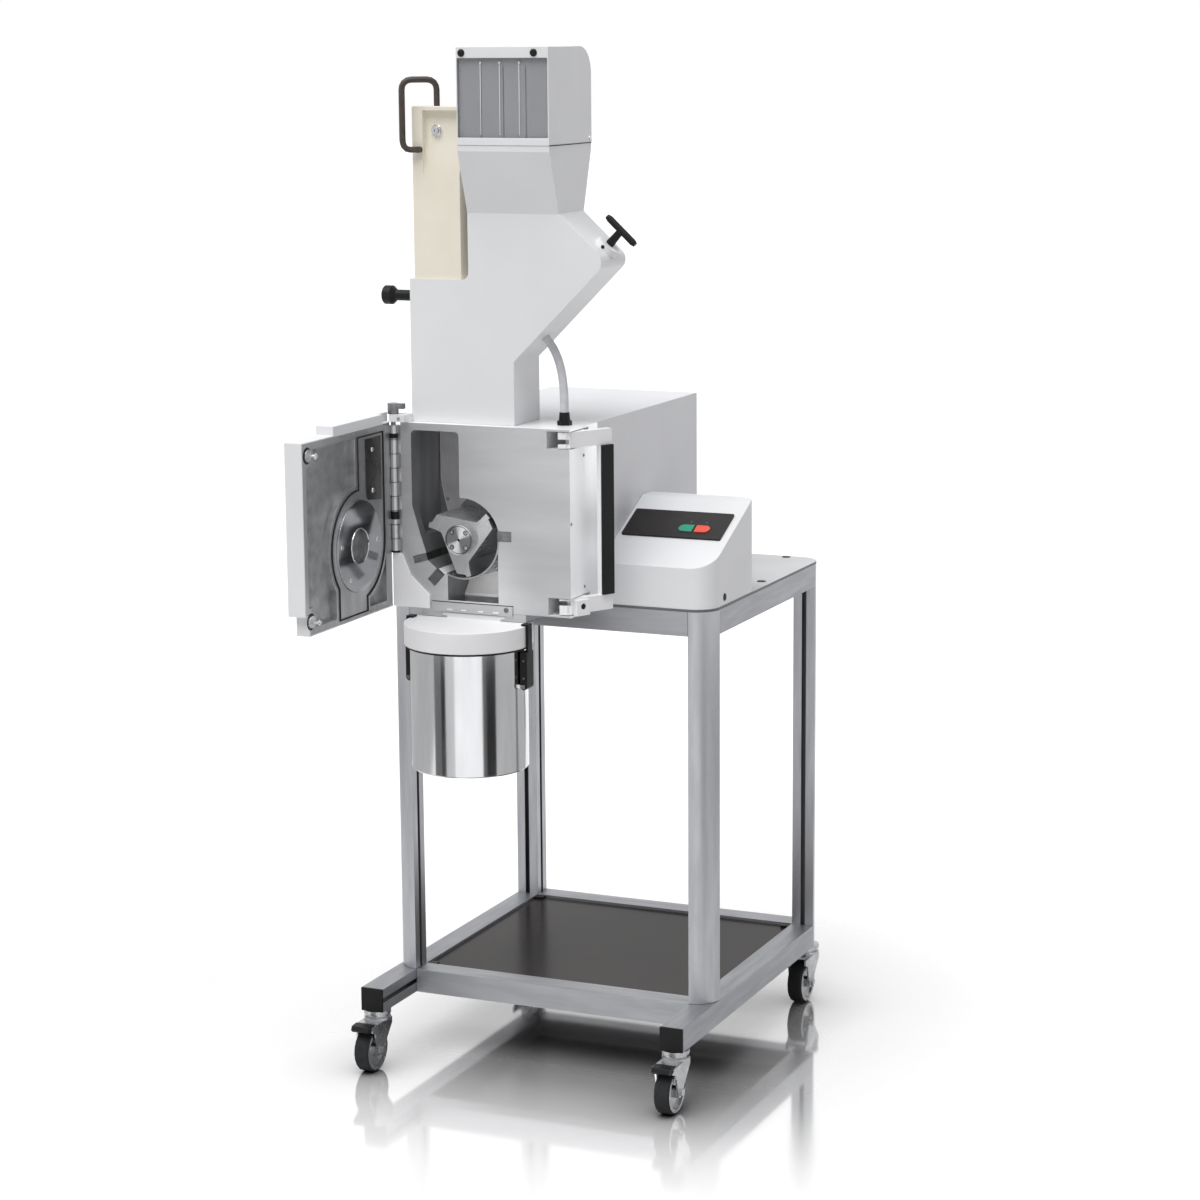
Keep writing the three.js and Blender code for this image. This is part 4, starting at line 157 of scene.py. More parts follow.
def grey(tone: float) -> Colour:
    """Gives a grey as a linear colour."""
    return (tone, tone, tone, 1.0)


def enter(name: str, data: bpy.types.ID) -> bpy.types.Object:
    """Makes an object from its data and puts it in the scene."""
    made = bpy.data.objects.new(name, data)
    bpy.context.scene.collection.objects.link(made)
    return made


# Finishes


class Pattern(Enum):
    """What the surface of a finish shows from close by."""

    MOTTLE = "Surface mottle"
    STREAK = "Drawn streaks"
    # Turned rings, with two bright sectors painted in as a reflection
    TURNED_WITH_REFLECTION = "Turned rings"


def add_node(tree: bpy.types.NodeTree, kind: str, values: dict[str | int, object] | None = None,
             **settings: object) -> bpy.types.Node:
    """Adds a shader node.

    Args:
        tree: The tree that takes it.
        kind: Its type, without the words that all shader nodes share.
        values: Values of its inputs, by name or number.
        **settings: Its own settings.

    Returns:
        The node.
    """
    node = tree.nodes.new(f"ShaderNode{kind}")
    for name, setting in settings.items():
        setattr(node, name, setting)
    for socket, value in (values or {}).items():
        node.inputs[socket].default_value = value
    return node


def join(tree: bpy.types.NodeTree, *wires: tuple[bpy.types.Node, str, bpy.types.Node, str | int]) -> None:
    """Links nodes, each wire given as a node, its output, the next node and its input."""
    for source, output, target, socket in wires:
        tree.links.new(source.outputs[output], target.inputs[socket])


def open_material(name: str, values: dict[str, object]) -> tuple[bpy.types.Material, bpy.types.Node]:
    """Starts a material, and gives it with the node of its surface, whose inputs take the values."""
    material = bpy.data.materials.new(name)
    material.use_nodes = True
    shader = material.node_tree.nodes["Principled BSDF"]
    for socket, value in values.items():
        shader.inputs[socket].default_value = value
    return material, shader


def open_group(pattern: Pattern) -> tuple[bpy.types.NodeTree, bpy.types.Node, bpy.types.Node]:
    """Starts a group from Vector and Fineness to Tone and Height, and gives it with both its ends."""
    tree = bpy.data.node_groups.new(pattern.value, "ShaderNodeTree")
    for name, way, kind in (
        ("Vector", "INPUT", "Vector"), ("Fineness", "INPUT", "Float"),
        ("Tone", "OUTPUT", "Float"), ("Height", "OUTPUT", "Float"),
    ):
        tree.interface.new_socket(name, in_out=way, socket_type=f"NodeSocket{kind}")
    return tree, tree.nodes.new("NodeGroupInput"), tree.nodes.new("NodeGroupOutput")


def mottle_group() -> None:
    """Builds the group for cast, coated and moulded surfaces."""
    tree, start, end = open_group(Pattern.MOTTLE)
    broad = add_node(tree, "TexNoise", {"Scale": 1.0, "Detail": 4.0})
    fine = add_node(tree, "TexNoise", {"Detail": 3.0})
    join(
        tree,
        (start, "Vector", broad, "Vector"), (start, "Vector", fine, "Vector"),
        (start, "Fineness", fine, "Scale"), (broad, "Fac", end, "Tone"), (fine, "Fac", end, "Height"),
    )


def streak_group() -> None:
    """Builds the group for drawn, milled and brushed metal, with streaks along the X of its input."""
    tree, start, end = open_group(Pattern.STREAK)
    stretch = add_node(tree, "Mapping", {"Scale": (0.12, 1.0, 1.0)})
    bands = add_node(tree, "TexNoise", {"Scale": 1.0, "Detail": 5.0, "Roughness": 0.55})
    lines = add_node(tree, "TexNoise", {"Detail": 4.0})
    join(
        tree,
        (start, "Vector", stretch, "Vector"), (stretch, "Vector", bands, "Vector"),
        (stretch, "Vector", lines, "Vector"), (start, "Fineness", lines, "Scale"),
        (bands, "Fac", end, "Tone"), (lines, "Fac", end, "Height"),
    )


def turned_reflection_group() -> None:
    """Builds the group for faces turned round the Z of its input: rings, and two bright sectors that are a
    painted reflection.
    """
    tree, start, end = open_group(Pattern.TURNED_WITH_REFLECTION)
    turn = add_node(tree, "TexGradient", gradient_type="RADIAL")
    angle = add_node(tree, "Math", {1: 2.0 * math.tau}, operation="MULTIPLY")
    wave = add_node(tree, "Math", operation="COSINE")
    # The two bright sectors round the turn are a painted reflection
    narrow = add_node(
        tree, "MapRange", {"From Min": -0.2, "From Max": 1.0, "To Min": 0.3, "To Max": 0.7},
        interpolation_type="SMOOTHSTEP",
    )
    rings = add_node(tree, "TexWave", {"Distortion": 0.4}, wave_type="RINGS", rings_direction="Z")
    join(
        tree,
        (start, "Vector", turn, "Vector"), (turn, "Fac", angle, 0), (angle, "Value", wave, 0),
        (wave, "Value", narrow, "Value"), (narrow, "Result", end, "Tone"),
        (start, "Vector", rings, "Vector"), (start, "Fineness", rings, "Scale"),
        (rings, "Fac", end, "Height"),
    )


@dataclass(frozen=True)
class Finish:
    """One surface finish, with two tones that a pattern mixes.

    Attributes:
        name: Name of its material.
        slot: The record's material slot; not used.
        light: The lighter tone, as written colour.
        dark: The darker tone, as written colour.
        roughness: Middle roughness.
        spread: How far the pattern moves the roughness.
        metallic: 1 for bare metal.
        pattern: What the surface shows from close by.
        size: Size of the pattern's broad marks in metres.
        fineness: How many times finer its small marks are.
        relief: Height of the small marks in metres.
        turn: Turn of the pattern about X, Y and Z in degrees.
        coat: Weight of a clear coat.
        alpha: Opacity.
        shine: Strength of the mirror reflection of a surface that is no metal.
        centre: The pattern's own origin in metres.
    """

    name: str
    slot: str
    light: int
    dark: int
    roughness: float
    spread: float = 0.05
    metallic: float = 0.0
    pattern: Pattern = Pattern.MOTTLE
    size: float = 0.05
    fineness: float = 40.0
    relief: float = 0.00004
    turn: tuple[float, float, float] = (0.0, 0.0, 0.0)
    coat: float = 0.0
    alpha: float = 1.0
    shine: float = 0.5
    centre: tuple[float, float, float] = (0.0, 0.0, 0.0)

    def material(self) -> bpy.types.Material:
        """Builds the material, or gives the one that is there."""
        known = bpy.data.materials.get(self.name)
        if known:
            return known
        material, shader = open_material(self.name, {
            "Metallic": self.metallic, "Coat Weight": self.coat,
            "Alpha": self.alpha, "Specular IOR Level": self.shine,
        })
        tree = material.node_tree
        turn = Euler([math.radians(t) for t in self.turn])
        place = add_node(tree, "TexCoord")
        scale = add_node(tree, "Mapping", {
            "Rotation": turn,
            "Location": turn.to_matrix() @ (Vector(self.centre) / -self.size),
            "Scale": [1.0 / self.size] * 3,
        })
        marks = add_node(
            tree, "Group", {"Fineness": self.fineness}, node_tree=bpy.data.node_groups[self.pattern.value]
        )
        tones = add_node(tree, "Mix", {"A": linear(self.dark), "B": linear(self.light)}, data_type="RGBA")
        contrast = add_node(tree, "MapRange", TONE_RANGE)
        gloss = add_node(tree, "MapRange", {
            **TONE_RANGE, "To Min": self.roughness + self.spread,
            "To Max": max(self.roughness - self.spread, LEAST_ROUGHNESS),
        })
        bump = add_node(tree, "Bump", {"Strength": BUMP_STRENGTH, "Distance": self.relief})
        join(
            tree,
            (place, "Object", scale, "Vector"), (scale, "Vector", marks, "Vector"),
            (marks, "Tone", contrast, "Value"), (contrast, "Result", tones, "Factor"),
            (tones, "Result", shader, "Base Color"), (marks, "Tone", gloss, "Value"),
            (gloss, "Result", shader, "Roughness"), (marks, "Height", bump, "Height"),
            (bump, "Normal", shader, "Normal"),
        )
        return material


def powder(name: str, light: int, dark: int, roughness: float = 0.42) -> Finish:
    """Gives a white powder coat in two near tones."""
    return Finish(name, "white_paint", light, dark, roughness, 0.03, fineness=60, size=0.12)


def anodised(name: str, light: int, dark: int, turn: tuple[float, float, float],
            roughness: float = 0.42, metallic: float = 0.85) -> Finish:
    """Gives the drawn skin of an anodised profile, with its streaks along the profile."""
    drawn = (Pattern.STREAK, 0.012, 9.0, 0.00001)
    return Finish(name, "anodised_profile", light, dark, roughness, 0.05, metallic, *drawn, turn)


PAINT = powder("White powder coat", 0xEAEBEC, 0xE6E7E9)
HOUSING_PAINT = powder("Housing powder coat", 0xE4E5E8, 0xE0E1E4, 0.45)
# A lighter copy of the white powder coat: painted light on the corner cover and hinge leaf, which the open
# door shades; the yoke wears it too
PAINT_LIGHTENED = powder("Lightened powder coat, painted light", 0xFAFAFB, 0xF5F6F7)
# The tray has the same white paint: a greyer top as painted shade from the housing, and a dark tone on its
# sides as painted shade
TRAY_PAINT_SHADED = powder("Tray powder coat, painted shade", 0xC9CACC, 0xC4C5C7, 0.45)
TRAY_EDGE_SHADE = powder("Tray edge, painted shade", 0x6A6B6D, 0x606163, 0.45)
PROFILE_X = anodised("Anodised profile across", 0xABACAF, 0x9D9EA2, ACROSS)
PROFILE_Y = anodised("Anodised profile along", 0xA2A3A7, 0x94959A, ALONG)
PROFILE_Z = anodised("Anodised profile upright", 0xB4B5B8, 0xA6A7AB, UPRIGHT, 0.38)
# Darker tone inside the slots of the posts: painted shade
SLOT_SHADE = anodised("Profile slot, painted shade", 0x68696B, 0x58595B, UPRIGHT, 0.5, 0.6)
MILLED = Finish(
    "Milled block face", "cast_metal", 0xC6C7C8, 0xB0B1B3, 0.38, 0.07, 0.5,
    Pattern.STREAK, 0.06, 14.0, 0.00002,
)
MILLED_SIDE = Finish(
    "Milled block side", "cast_metal", 0xFAFBFC, 0xF0F1F2, 0.52, 0.05, 0.85,
    Pattern.STREAK, 0.06, 14.0, 0.00001, UPRIGHT,
)
# Near-white matte tone on the latch pocket's walls: painted light, as they sit in shade
POCKET_PAINTED_LIGHT = Finish("Pocket wall, painted light", "cast_metal", 0xF4F5F6, 0xE6E7E8, 0.4, 0.05, 0.1, size=0.03, relief=0.00001)
LAND = Finish(
    "Milled door land", "cast_metal", 0xC6C7C8, 0xA2A3A5, 0.36, 0.1, 0.85,
    Pattern.STREAK, 0.03, 10.0, 0.00003, UPRIGHT,
)
CAST = Finish(
    "Cast door face", "cast_metal", 0xB4B5B6, 0x88898B, 0.42, 0.12, 0.75,
    size=0.022, fineness=9.0, relief=0.0003,
)
CHAMBER = Finish(
    "Chamber wall", "cast_metal", 0x9C9D9E, 0x868789, 0.36, 0.06, 0.5,
    Pattern.STREAK, 0.03, 12.0, 0.00001, UPRIGHT,
)
# Near-white matte tone on the cast outlet slope: a painted highlight standing in for its bright reflection
OUTLET_HIGHLIGHT = Finish("Outlet slope, painted highlight", "cast_metal", 0xFDFDFD, 0xF2F2F3, 0.3, 0.06, 0.0, size=0.02, relief=0.00001)
BRIGHT = Finish(
    "Ground steel", "bright_steel", 0xC9CACC, 0xB3B4B6, 0.24, 0.06, 1.0, Pattern.STREAK, 0.02, 14.0, 0.00001
)
KNUCKLE = Finish(
    "Hinge steel", "bright_steel", 0xB9BABC, 0x9FA0A2, 0.32, 0.05, 0.95, Pattern.STREAK, 0.02, 8.0, 0.000004,
    UPRIGHT,
)
FLANK = Finish(
    "Rotor flank", "bright_steel", 0xAAABAD, 0x949597, 0.26, 0.05, 0.6, Pattern.STREAK, 0.03, 8.0, 0.00001,
    ALONG,
)
ROTOR_STEEL = Finish(
    "Rotor steel", "bright_steel", 0xCBCCCE, 0xB5B6B8, 0.3, 0.05, 0.85, Pattern.STREAK, 0.03, 14.0, 0.00001,
    (0.0, 60.0, 0.0),
)
# The turned cap's bright and dark sectors are a painted reflection
CAP_STEEL_WITH_REFLECTION = Finish(
    "Turned cap face with painted reflection", "bright_steel", 0xFAFAFA, 0x7C7D7F, 0.3, 0.06, 0.6, Pattern.TURNED_WITH_REFLECTION, 0.02, 6.0, 0.00002,
    (90.0, 0.0, 62.0), centre=(-0.0823, 0.0, 0.9142),
)
POLISHED = Finish(
    "Polished steel", "bright_steel", 0xC2C3C5, 0xB4B5B7, 0.11, 0.03, 1.0, size=0.08, relief=0.000005,
)
JAR_STEEL = Finish(
    "Drawn jar steel", "bright_steel", 0xDFE0E2, 0xD0D1D3, 0.12, 0.03, 1.0,
    Pattern.STREAK, 0.02, 12.0, 0.000004, UPRIGHT,
)
TOOL_STEEL = Finish("Tool steel", "dark_steel", 0x7E7F81, 0x626365, 0.34, 0.07, 0.9, size=0.02, fineness=15.0)
LINER = Finish(
    "Throat liner plate", "dark_steel", 0xE0E0E2, 0xCECED0, 0.36, 0.06, 0.2, size=0.03, relief=0.00001,
)
DOOR_LINER = Finish(
    "Dark liner plate", "dark_steel", 0x6A6767, 0x4C4A4A, 0.26, 0.06, 0.95, size=0.06, relief=0.00001,
)
ZINC = Finish("Zinc plate", "zinc_steel", 0xC2C3C5, 0xA9AAAC, 0.28, 0.08, 1.0, size=0.02, fineness=12.0)
BLACK = Finish("Black plastic", "black_plastic", 0x151516, 0x101011, 0.42, 0.06, fineness=80, shine=0.2)
SEAL = Finish("Black seal rubber", "black_plastic", 0x161616, 0x101010, 0.6, 0.05, size=0.01, shine=0.3)
FOIL = Finish("Black panel foil", "black_gloss", 0x2A2727, 0x252222, 0.35, 0.04, size=0.03, shine=0.2)
BOARD = Finish(
    "Dark shelf board", "shelf_board", 0x393533, 0x353230, 0.2, 0.02, size=0.2, relief=0.000001, shine=0.05
)
TREAD = Finish("Grey tread", "grey_tread", 0x2C2D2F, 0x252628, 0.7, 0.05, size=0.015, shine=0.2)
IVORY = Finish("Ivory plastic", "ivory_plastic", 0xF2ECDD, 0xEDE6D5, 0.45, 0.05, size=0.06)
BROWN = Finish("Brown coat", "brown_coat", 0x4D443F, 0x433B37, 0.5, 0.06, size=0.01, shine=0.3)
CLEAR = Finish(
    "Clear curtain strip", "clear_strip", 0xC8CACE, 0xBCBEC2, 0.15, 0.02,
    size=0.3, relief=0.0000005, alpha=0.4,
)
# Pale thin pieces: painted highlights on the curtain strips' edges and the liner's edge, and the pale marks
# on the flap
PALE_MARK_AND_HIGHLIGHT = Finish(
    "Pale marks and painted highlights", "clear_strip", 0xFAFAFB, 0xEEEFF0, 0.2, 0.03, size=0.02, relief=0.000002,
)
HOSE = Finish("Grey hose", "grey_hose", 0xD4D5D8, 0xC9CACD, 0.5, 0.05, size=0.01)
LID = Finish("White plastic", "white_plastic", 0xEFEFF0, 0xEAEAEB, 0.42, 0.04, size=0.05)
GREEN = Finish("Green button", "green_button", 0x14987A, 0x128E72, 0.4, 0.04, size=0.01)
RED = Finish("Red button", "red_button", 0xEE5540, 0xE34C38, 0.4, 0.04, size=0.01)
LAMP = Finish("Dark lamp lens", "black_gloss", 0x4A4B4D, 0x3C3D3F, 0.2, 0.03, size=0.01)


# Making pieces


class Drive(Enum):
    """How the head of a screw looks."""

    SOCKET = "socket"
    DOME = "dome"
    FLAT = "flat"


def bevel(bm: BMesh, edges: list[BMEdge], width: float, steps: int, clamp: bool = False) -> None:
    """Rounds edges by a width in metres, in steps, and stops at other rounds if it has to clamp."""
    bmesh.ops.bevel(
        bm, geom=edges, offset=width, segments=steps, profile=0.5,
        affect="EDGES", clamp_overlap=clamp, material=-1,
    )


def add_screw(bm: BMesh, origin: Vector, normal: Sequence[float], radius: float,
              height: float, drive: Drive = Drive.SOCKET) -> None:
    """Adds the head of a screw that stands on a surface.

    Args:
        bm: The mesh that takes it.
        origin: Middle of its foot, in metres.
        normal: Direction in which it stands.
        radius: Radius of the head in millimetres.
        height: Height of the head in millimetres.
        drive: How the head looks.
    """
    place = facing(origin, normal) @ Matrix.Translation((0, 0, height * MM / 2))
    made = bmesh.ops.create_cone(
        bm, cap_ends=True, cap_tris=False, segments=HEAD_STEPS, radius1=radius * MM,
        radius2=radius * HEAD_TAPER * MM, depth=height * MM, matrix=place,
    )
    faces = {face for vert in made["verts"] for face in vert.link_faces}
    axis = Vector(normal)
    top = max(faces, key=lambda face: (face.calc_center_median() - origin).dot(axis))
    if drive is Drive.SOCKET:
        bmesh.ops.inset_individual(bm, faces=[top], thickness=radius * HEAD_RIM * MM)
        bmesh.ops.inset_individual(
            bm, faces=[top], thickness=radius * SOCKET_WALL * MM, depth=-height * SOCKET_DEPTH * MM
        )
    if drive is Drive.DOME:
        bevel(bm, list(top.edges), height * DOME_ROUND * MM, DOME_STEPS)


def add_turned(bm: BMesh, profile: Outline, place: Matrix, steps: int = 48) -> None:
    """Adds a ring turned from a closed profile.

    Args:
        bm: The mesh that takes it.
        profile: Pairs of radius and height in millimetres.
        place: Placement whose z axis is the axis of the turn.
        steps: Number of steps round the axis.
    """
    verts = [bm.verts.new(place @ Vector((r * MM, 0, h * MM))) for r, h in profile]
    edges = [bm.edges.new(pair) for pair in zip(verts, [*verts[1:], verts[0]])]
    bmesh.ops.spin(
        bm, geom=[*verts, *edges], cent=place.translation, axis=place.col[2].to_3d(),
        angle=math.tau, steps=steps, use_merge=True,
    )


def add_plate(bm: BMesh, outline: Outline, place: Matrix, thickness: float) -> None:
    """Adds a plate to a mesh: corners and thickness in millimetres, on a plane that looks along its z."""
    verts = [bm.verts.new(place @ Vector((u * MM, v * MM, 0))) for u, v in outline]
    face = bm.faces.new(verts)
    pushed = bmesh.ops.extrude_face_region(bm, geom=[face])
    lifted = [item for item in pushed["geom"] if isinstance(item, BMVert)]
    shift = place.col[2].to_3d() * thickness * MM
    bmesh.ops.translate(bm, verts=lifted, vec=shift)


def add_block(bm: BMesh, low: Vector, high: Vector) -> None:
    """Adds a block with softened edges to a mesh, between two corners in metres."""
    size = high - low
    place = Matrix.Translation((low + high) / 2) @ Matrix.Diagonal((*size, 1))
    made = bmesh.ops.create_cube(bm, size=1, matrix=place)
    edges = list({edge for vert in made["verts"] for edge in vert.link_edges})
    bevel(bm, edges, min(size) * BLOCK_ROUND, BLOCK_STEPS)


@dataclass
class Workshop:
    """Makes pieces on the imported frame.

    Attributes:
        nodes: The solids by name.
        node_bodies: The body of each solid.
    """

    nodes: dict[str, bpy.types.Object]
    node_bodies: dict[str, str]

    @classmethod
    def from_frame(cls, frame: dict) -> Workshop:
        bodies = frame["record"]["behaviour"]["bodies"]
        return cls(frame["nodes"], {node: body for body, names in bodies.items() for node in names})

    def add(self, name: str, bm: BMesh, finish: Finish | Sequence[Finish], body: str,
            replaces: Sequence[str] = ()) -> bpy.types.Object:
        """Makes a finished mesh a piece of the mill.

        Args:
            name: Name of the piece.
            bm: Its mesh, which is freed.
            finish: Its finish, or several for the material indices of its faces.
            body: The body that it rides on.
            replaces: The solids that it stands for.

        Returns:
            The piece.
        """
        mesh = bpy.data.meshes.new(name)
        bm.to_mesh(mesh)
        bm.free()
        piece = self.dressed(name, mesh, [finish] if isinstance(finish, Finish) else finish, body)
        if replaces:
            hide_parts(*replaces)
        log.info("%s: %d faces", name, len(mesh.polygons))
        return piece

    def dressed(self, name: str, data: bpy.types.Mesh | bpy.types.Curve, finishes: Sequence[Finish],
                body: str) -> bpy.types.Object:
        """Makes a mesh or curve a piece that rides on a body, with the materials of its finishes."""
        for finish in finishes:
            data.materials.append(finish.material())
        piece = enter(name, data)
        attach(piece, body)
        return piece

    def small(self, name: str, add: Callable[..., None], shapes: Sequence[tuple], finish: Finish,
              body: str = "machine") -> None:
        """Makes a small fitting from simple shapes.

        Args:
            name: Name of the piece.
            add: Function that adds one shape to a mesh.
            shapes: For each shape, what that function takes after the mesh.
            finish: Its finish.
            body: The body that it rides on.
        """
        bm = bmesh.new()
        for shape in shapes:
            add(bm, *shape)
        bmesh.ops.recalc_face_normals(bm, faces=bm.faces)
        self.soften(bm, SMALL_SMOOTH)
        self.add(name, bm, finish, body)

    def soften(self, bm: BMesh, angle: float) -> None:
        """Shades a mesh smooth, apart from its edges over an angle in degrees."""
        limit = math.radians(angle)
        for face in bm.faces:
            face.smooth = True
        for edge in bm.edges:
            edge.smooth = edge.is_manifold and edge.calc_face_angle(0.0) < limit

    def coat(self, node: str, finish: Finish | Sequence[Finish], edge: float,
             choose: FaceTest | None = None, steps: int = 2, fillet: EdgeTest | None = None,
             fillet_radius: float = 0.0, smooth: float = 40.0) -> None:
        """Replaces a solid by a copy with broken edges and smooth rounds.

        Args:
            node: The solid.
            finish: Its finish, or several.
            edge: Width of the broken edges in millimetres, or 0.
            choose: Gives the index of the finish of a face.
            steps: Steps across a broken edge.
            fillet: Picks the edges that get a round of their own.
            fillet_radius: Radius of those rounds in millimetres.
            smooth: Largest angle between two faces, in degrees, that is shaded smooth.
        """
        bm = bmesh.new()
        bm.from_mesh(self.nodes[node].data)
        bmesh.ops.remove_doubles(bm, verts=bm.verts, dist=MERGE_DISTANCE)
        flat = math.radians(FLAT_ANGLE)
        bmesh.ops.dissolve_limit(bm, angle_limit=flat, verts=bm.verts, edges=bm.edges)
        if fillet:
            picked = [item for item in bm.edges if fillet(item)]
            bevel(bm, picked, fillet_radius * MM, FILLET_STEPS, clamp=True)
        if choose:
            for face in bm.faces:
                face.material_index = choose(face)
        if edge:
            sharp = [
                item for item in bm.edges
                if item.is_manifold and item.calc_face_angle(0.0) > math.radians(SHARP_ANGLE)
                and item.calc_length() > LEAST_EDGE * edge * MM
            ]
            bevel(bm, sharp, edge * MM, steps, clamp=True)
        self.soften(bm, smooth)
        piece = self.add(f"{node}_dressed", bm, finish, self.node_bodies[node], [node])
        even = piece.modifiers.new("even_shading", "WEIGHTED_NORMAL")
        even.keep_sharp = True

    def coat_each(self, *rows: tuple[str, Finish, float]) -> None:
        """Coats solids, each row given as the solid, its finish and the width of its broken edges."""
        for row in rows:
            self.coat(*row)

    def wire(self, name: str, points: Sequence[Vector], radius: float, finish: Finish, body: str,
             closed: bool = False) -> None:
        """Makes a round cord or wire along a path.

        Args:
            name: Name of the piece.
            points: Points of the path in metres.
            radius: Radius in millimetres.
            finish: Its finish.
            body: The body that it rides on.
            closed: Whether the path joins its own start.
        """
        curve = bpy.data.curves.new(name, "CURVE")
        curve.dimensions = "3D"
        curve.bevel_depth = radius * MM
        curve.bevel_resolution = 2
        curve.use_fill_caps = True
        path = curve.splines.new("POLY")
        path.points.add(len(points) - 1)
        for point, place in zip(path.points, points):
            point.co = (*place, 1.0)
        path.use_cyclic_u = closed
        self.dressed(name, curve, [finish], body)
        log.info("%s: %d points", name, len(points))


# Sub-assemblies


@dataclass
class WheeledStand:
    """The profile stand with its shelf, tray and castors."""

    shop: Workshop
    shelf_top: float = 135.0
    tray_top: float = 798.0
    half_width: float = 249.7
    shelf_front: float = 165.3
    shelf_back: float = 619.7
    rim_radius: float = 29.5
    clip_size: float = 16.0
    slot_reach: float = 38.5
    slot_lip: float = 0.6

    def dress(self) -> None:
        """Gives the profiles, shelf, tray and castors their finish."""
        plain = {
            "foot_rail": (PROFILE_X, 0.5), "top_rail": (PROFILE_X, 0.5), "end_cap": (BLACK, 1.0),
            "castor_fork": (ZINC, 0.4), "brake_pedal": (BLACK, 0.8),
        }
        for node in self.shop.nodes:
            kind = "_".join(node.split("_")[:2])
            if node.startswith("post_"):
                self.shop.coat(node, (PROFILE_Z, SLOT_SHADE), 0.6, self.post_surface(node))
            elif kind == "castor_wheel":
                self.wheel(node)
            elif kind in ("foot_rail", "top_rail") and node.endswith(("_left", "_right")):
                self.shop.coat(node, PROFILE_Y, 0.5)
            elif kind in plain:
                self.shop.coat(node, *plain[kind])
        self.shop.coat("shelf_panel", BOARD, 0.4)
        # The tray's sides and underside get the dark edge tone: painted shade
        self.shop.coat("base_tray", (TRAY_PAINT_SHADED, TRAY_EDGE_SHADE), 0.3, lambda face: int(face.normal.z <= 0.5))
        size, side, front, back = self.clip_size, self.half_width, self.shelf_front, self.shelf_back
        clips = [
            (at(x, y, self.shelf_top), at(x + size, y + size, self.shelf_top + 4.0))
            for x in (-side, side - size) for y in (front, back - size)
        ]
        self.shop.small("shelf_clips", add_block, clips, BLACK)
        places = ((226.0, 648.0), (270.0, 407.0))
        plugs = [(at(x, y, self.tray_top), UP, 8.0, 1.2, Drive.DOME) for x, y in places]
        self.shop.small("tray_plugs", add_screw, plugs, BLACK)

    def post_surface(self, node: str) -> FaceTest:
        """Gives the test that tells the slots of a post, which get painted shade, from its outside."""
        low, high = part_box(node)
        right, back = "right" in node, "rear" in node
        corner = Vector((low[0] if right else high[0], low[1] if back else high[1], 0.0)) / MM

        def part(face: BMFace) -> int:
            """Gives 1 in a slot and 0 outside."""
            away = face.calc_center_median() / MM - corner
            lip = min(abs(away.x), abs(away.y))
            return int(lip > self.slot_lip and math.hypot(away.x, away.y) < self.slot_reach)

        return part

    def wheel(self, node: str) -> None:
        """Gives a wheel its grey tyre and its paler hub."""
        low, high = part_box(node)
        middle = (Vector(low) + Vector(high)) / 2

        def part(face: BMFace) -> int:
            """Gives 0 on the tyre and 1 on the hub."""
            spoke = face.calc_center_median() - middle
            return int(math.hypot(spoke.y, spoke.z) <= self.rim_radius * MM)

        self.shop.coat(node, (TREAD, ZINC), 0.6, part)


@dataclass
class ControlBox:
    """The control housing with its sloping panel."""

    shop: Workshop
    slope: float = 25.27
    slope_front: float = 125.0
    slope_foot: float = 865.0
    lamp_row: float = 238.0
    right: float = 290.0

    def dress(self) -> None:
        """Gives the housing, panel and buttons their finish."""
        self.shop.coat("control_housing", PAINT, 1.8, steps=3, smooth=22.0)
        self.shop.coat_each(
            ("control_panel", FOIL, 0.5), ("start_button", GREEN, 0.6), ("stop_button", RED, 0.6)
        )
        plug = (at(self.right, 185.6, 811.0), RIGHT, 6.5, 1.2, Drive.DOME)
        self.shop.small("control_plug", add_screw, [plug], BLACK)
        angle = math.radians(self.slope)
        normal = Vector((0.0, -math.sin(angle), math.cos(angle)))
        height = self.slope_foot + (self.lamp_row - self.slope_front) * math.tan(angle)
        feet = [at(x, self.lamp_row, height) + normal * 3.3 * MM for x in (212.0, 239.0)]
        lamps = [(foot, normal, 2.2, 0.5, Drive.DOME) for foot in feet]
        self.shop.small("panel_lamps", add_screw, lamps, LAMP)


@dataclass
class DriveHousing:
    """The closed housing behind the chamber."""

    shop: Workshop

    def dress(self) -> None:
        """Gives the housing and what shows through it their finish."""
        self.shop.coat_each(
            ("motor_housing", HOUSING_PAINT, 1.2), ("gear_motor", CAST, 0.0), ("mains_inlet", BLACK, 0.4)
        )
        corners = [(at(x, 552.0, z), BACK, 4.0, 2.0) for x in (-165.0, 83.0) for z in (815.0, 1078.0)]
        self.shop.small("housing_screws", add_screw, corners, BRIGHT)


class BlockSkin(IntEnum):
    """Index of each finish on the chamber block."""

    MILLED = 0
    PAINT = 1
    WALL = 2
    HINGE = 3
    SLOPE = 4
    SIDE = 5
    POCKET_PAINTED_LIGHT = 6


class RotorSkin(IntEnum):
    """Index of each finish on the rotor."""

    LOBE = 0
    CAP = 1
    RING = 2
    FLANK = 3


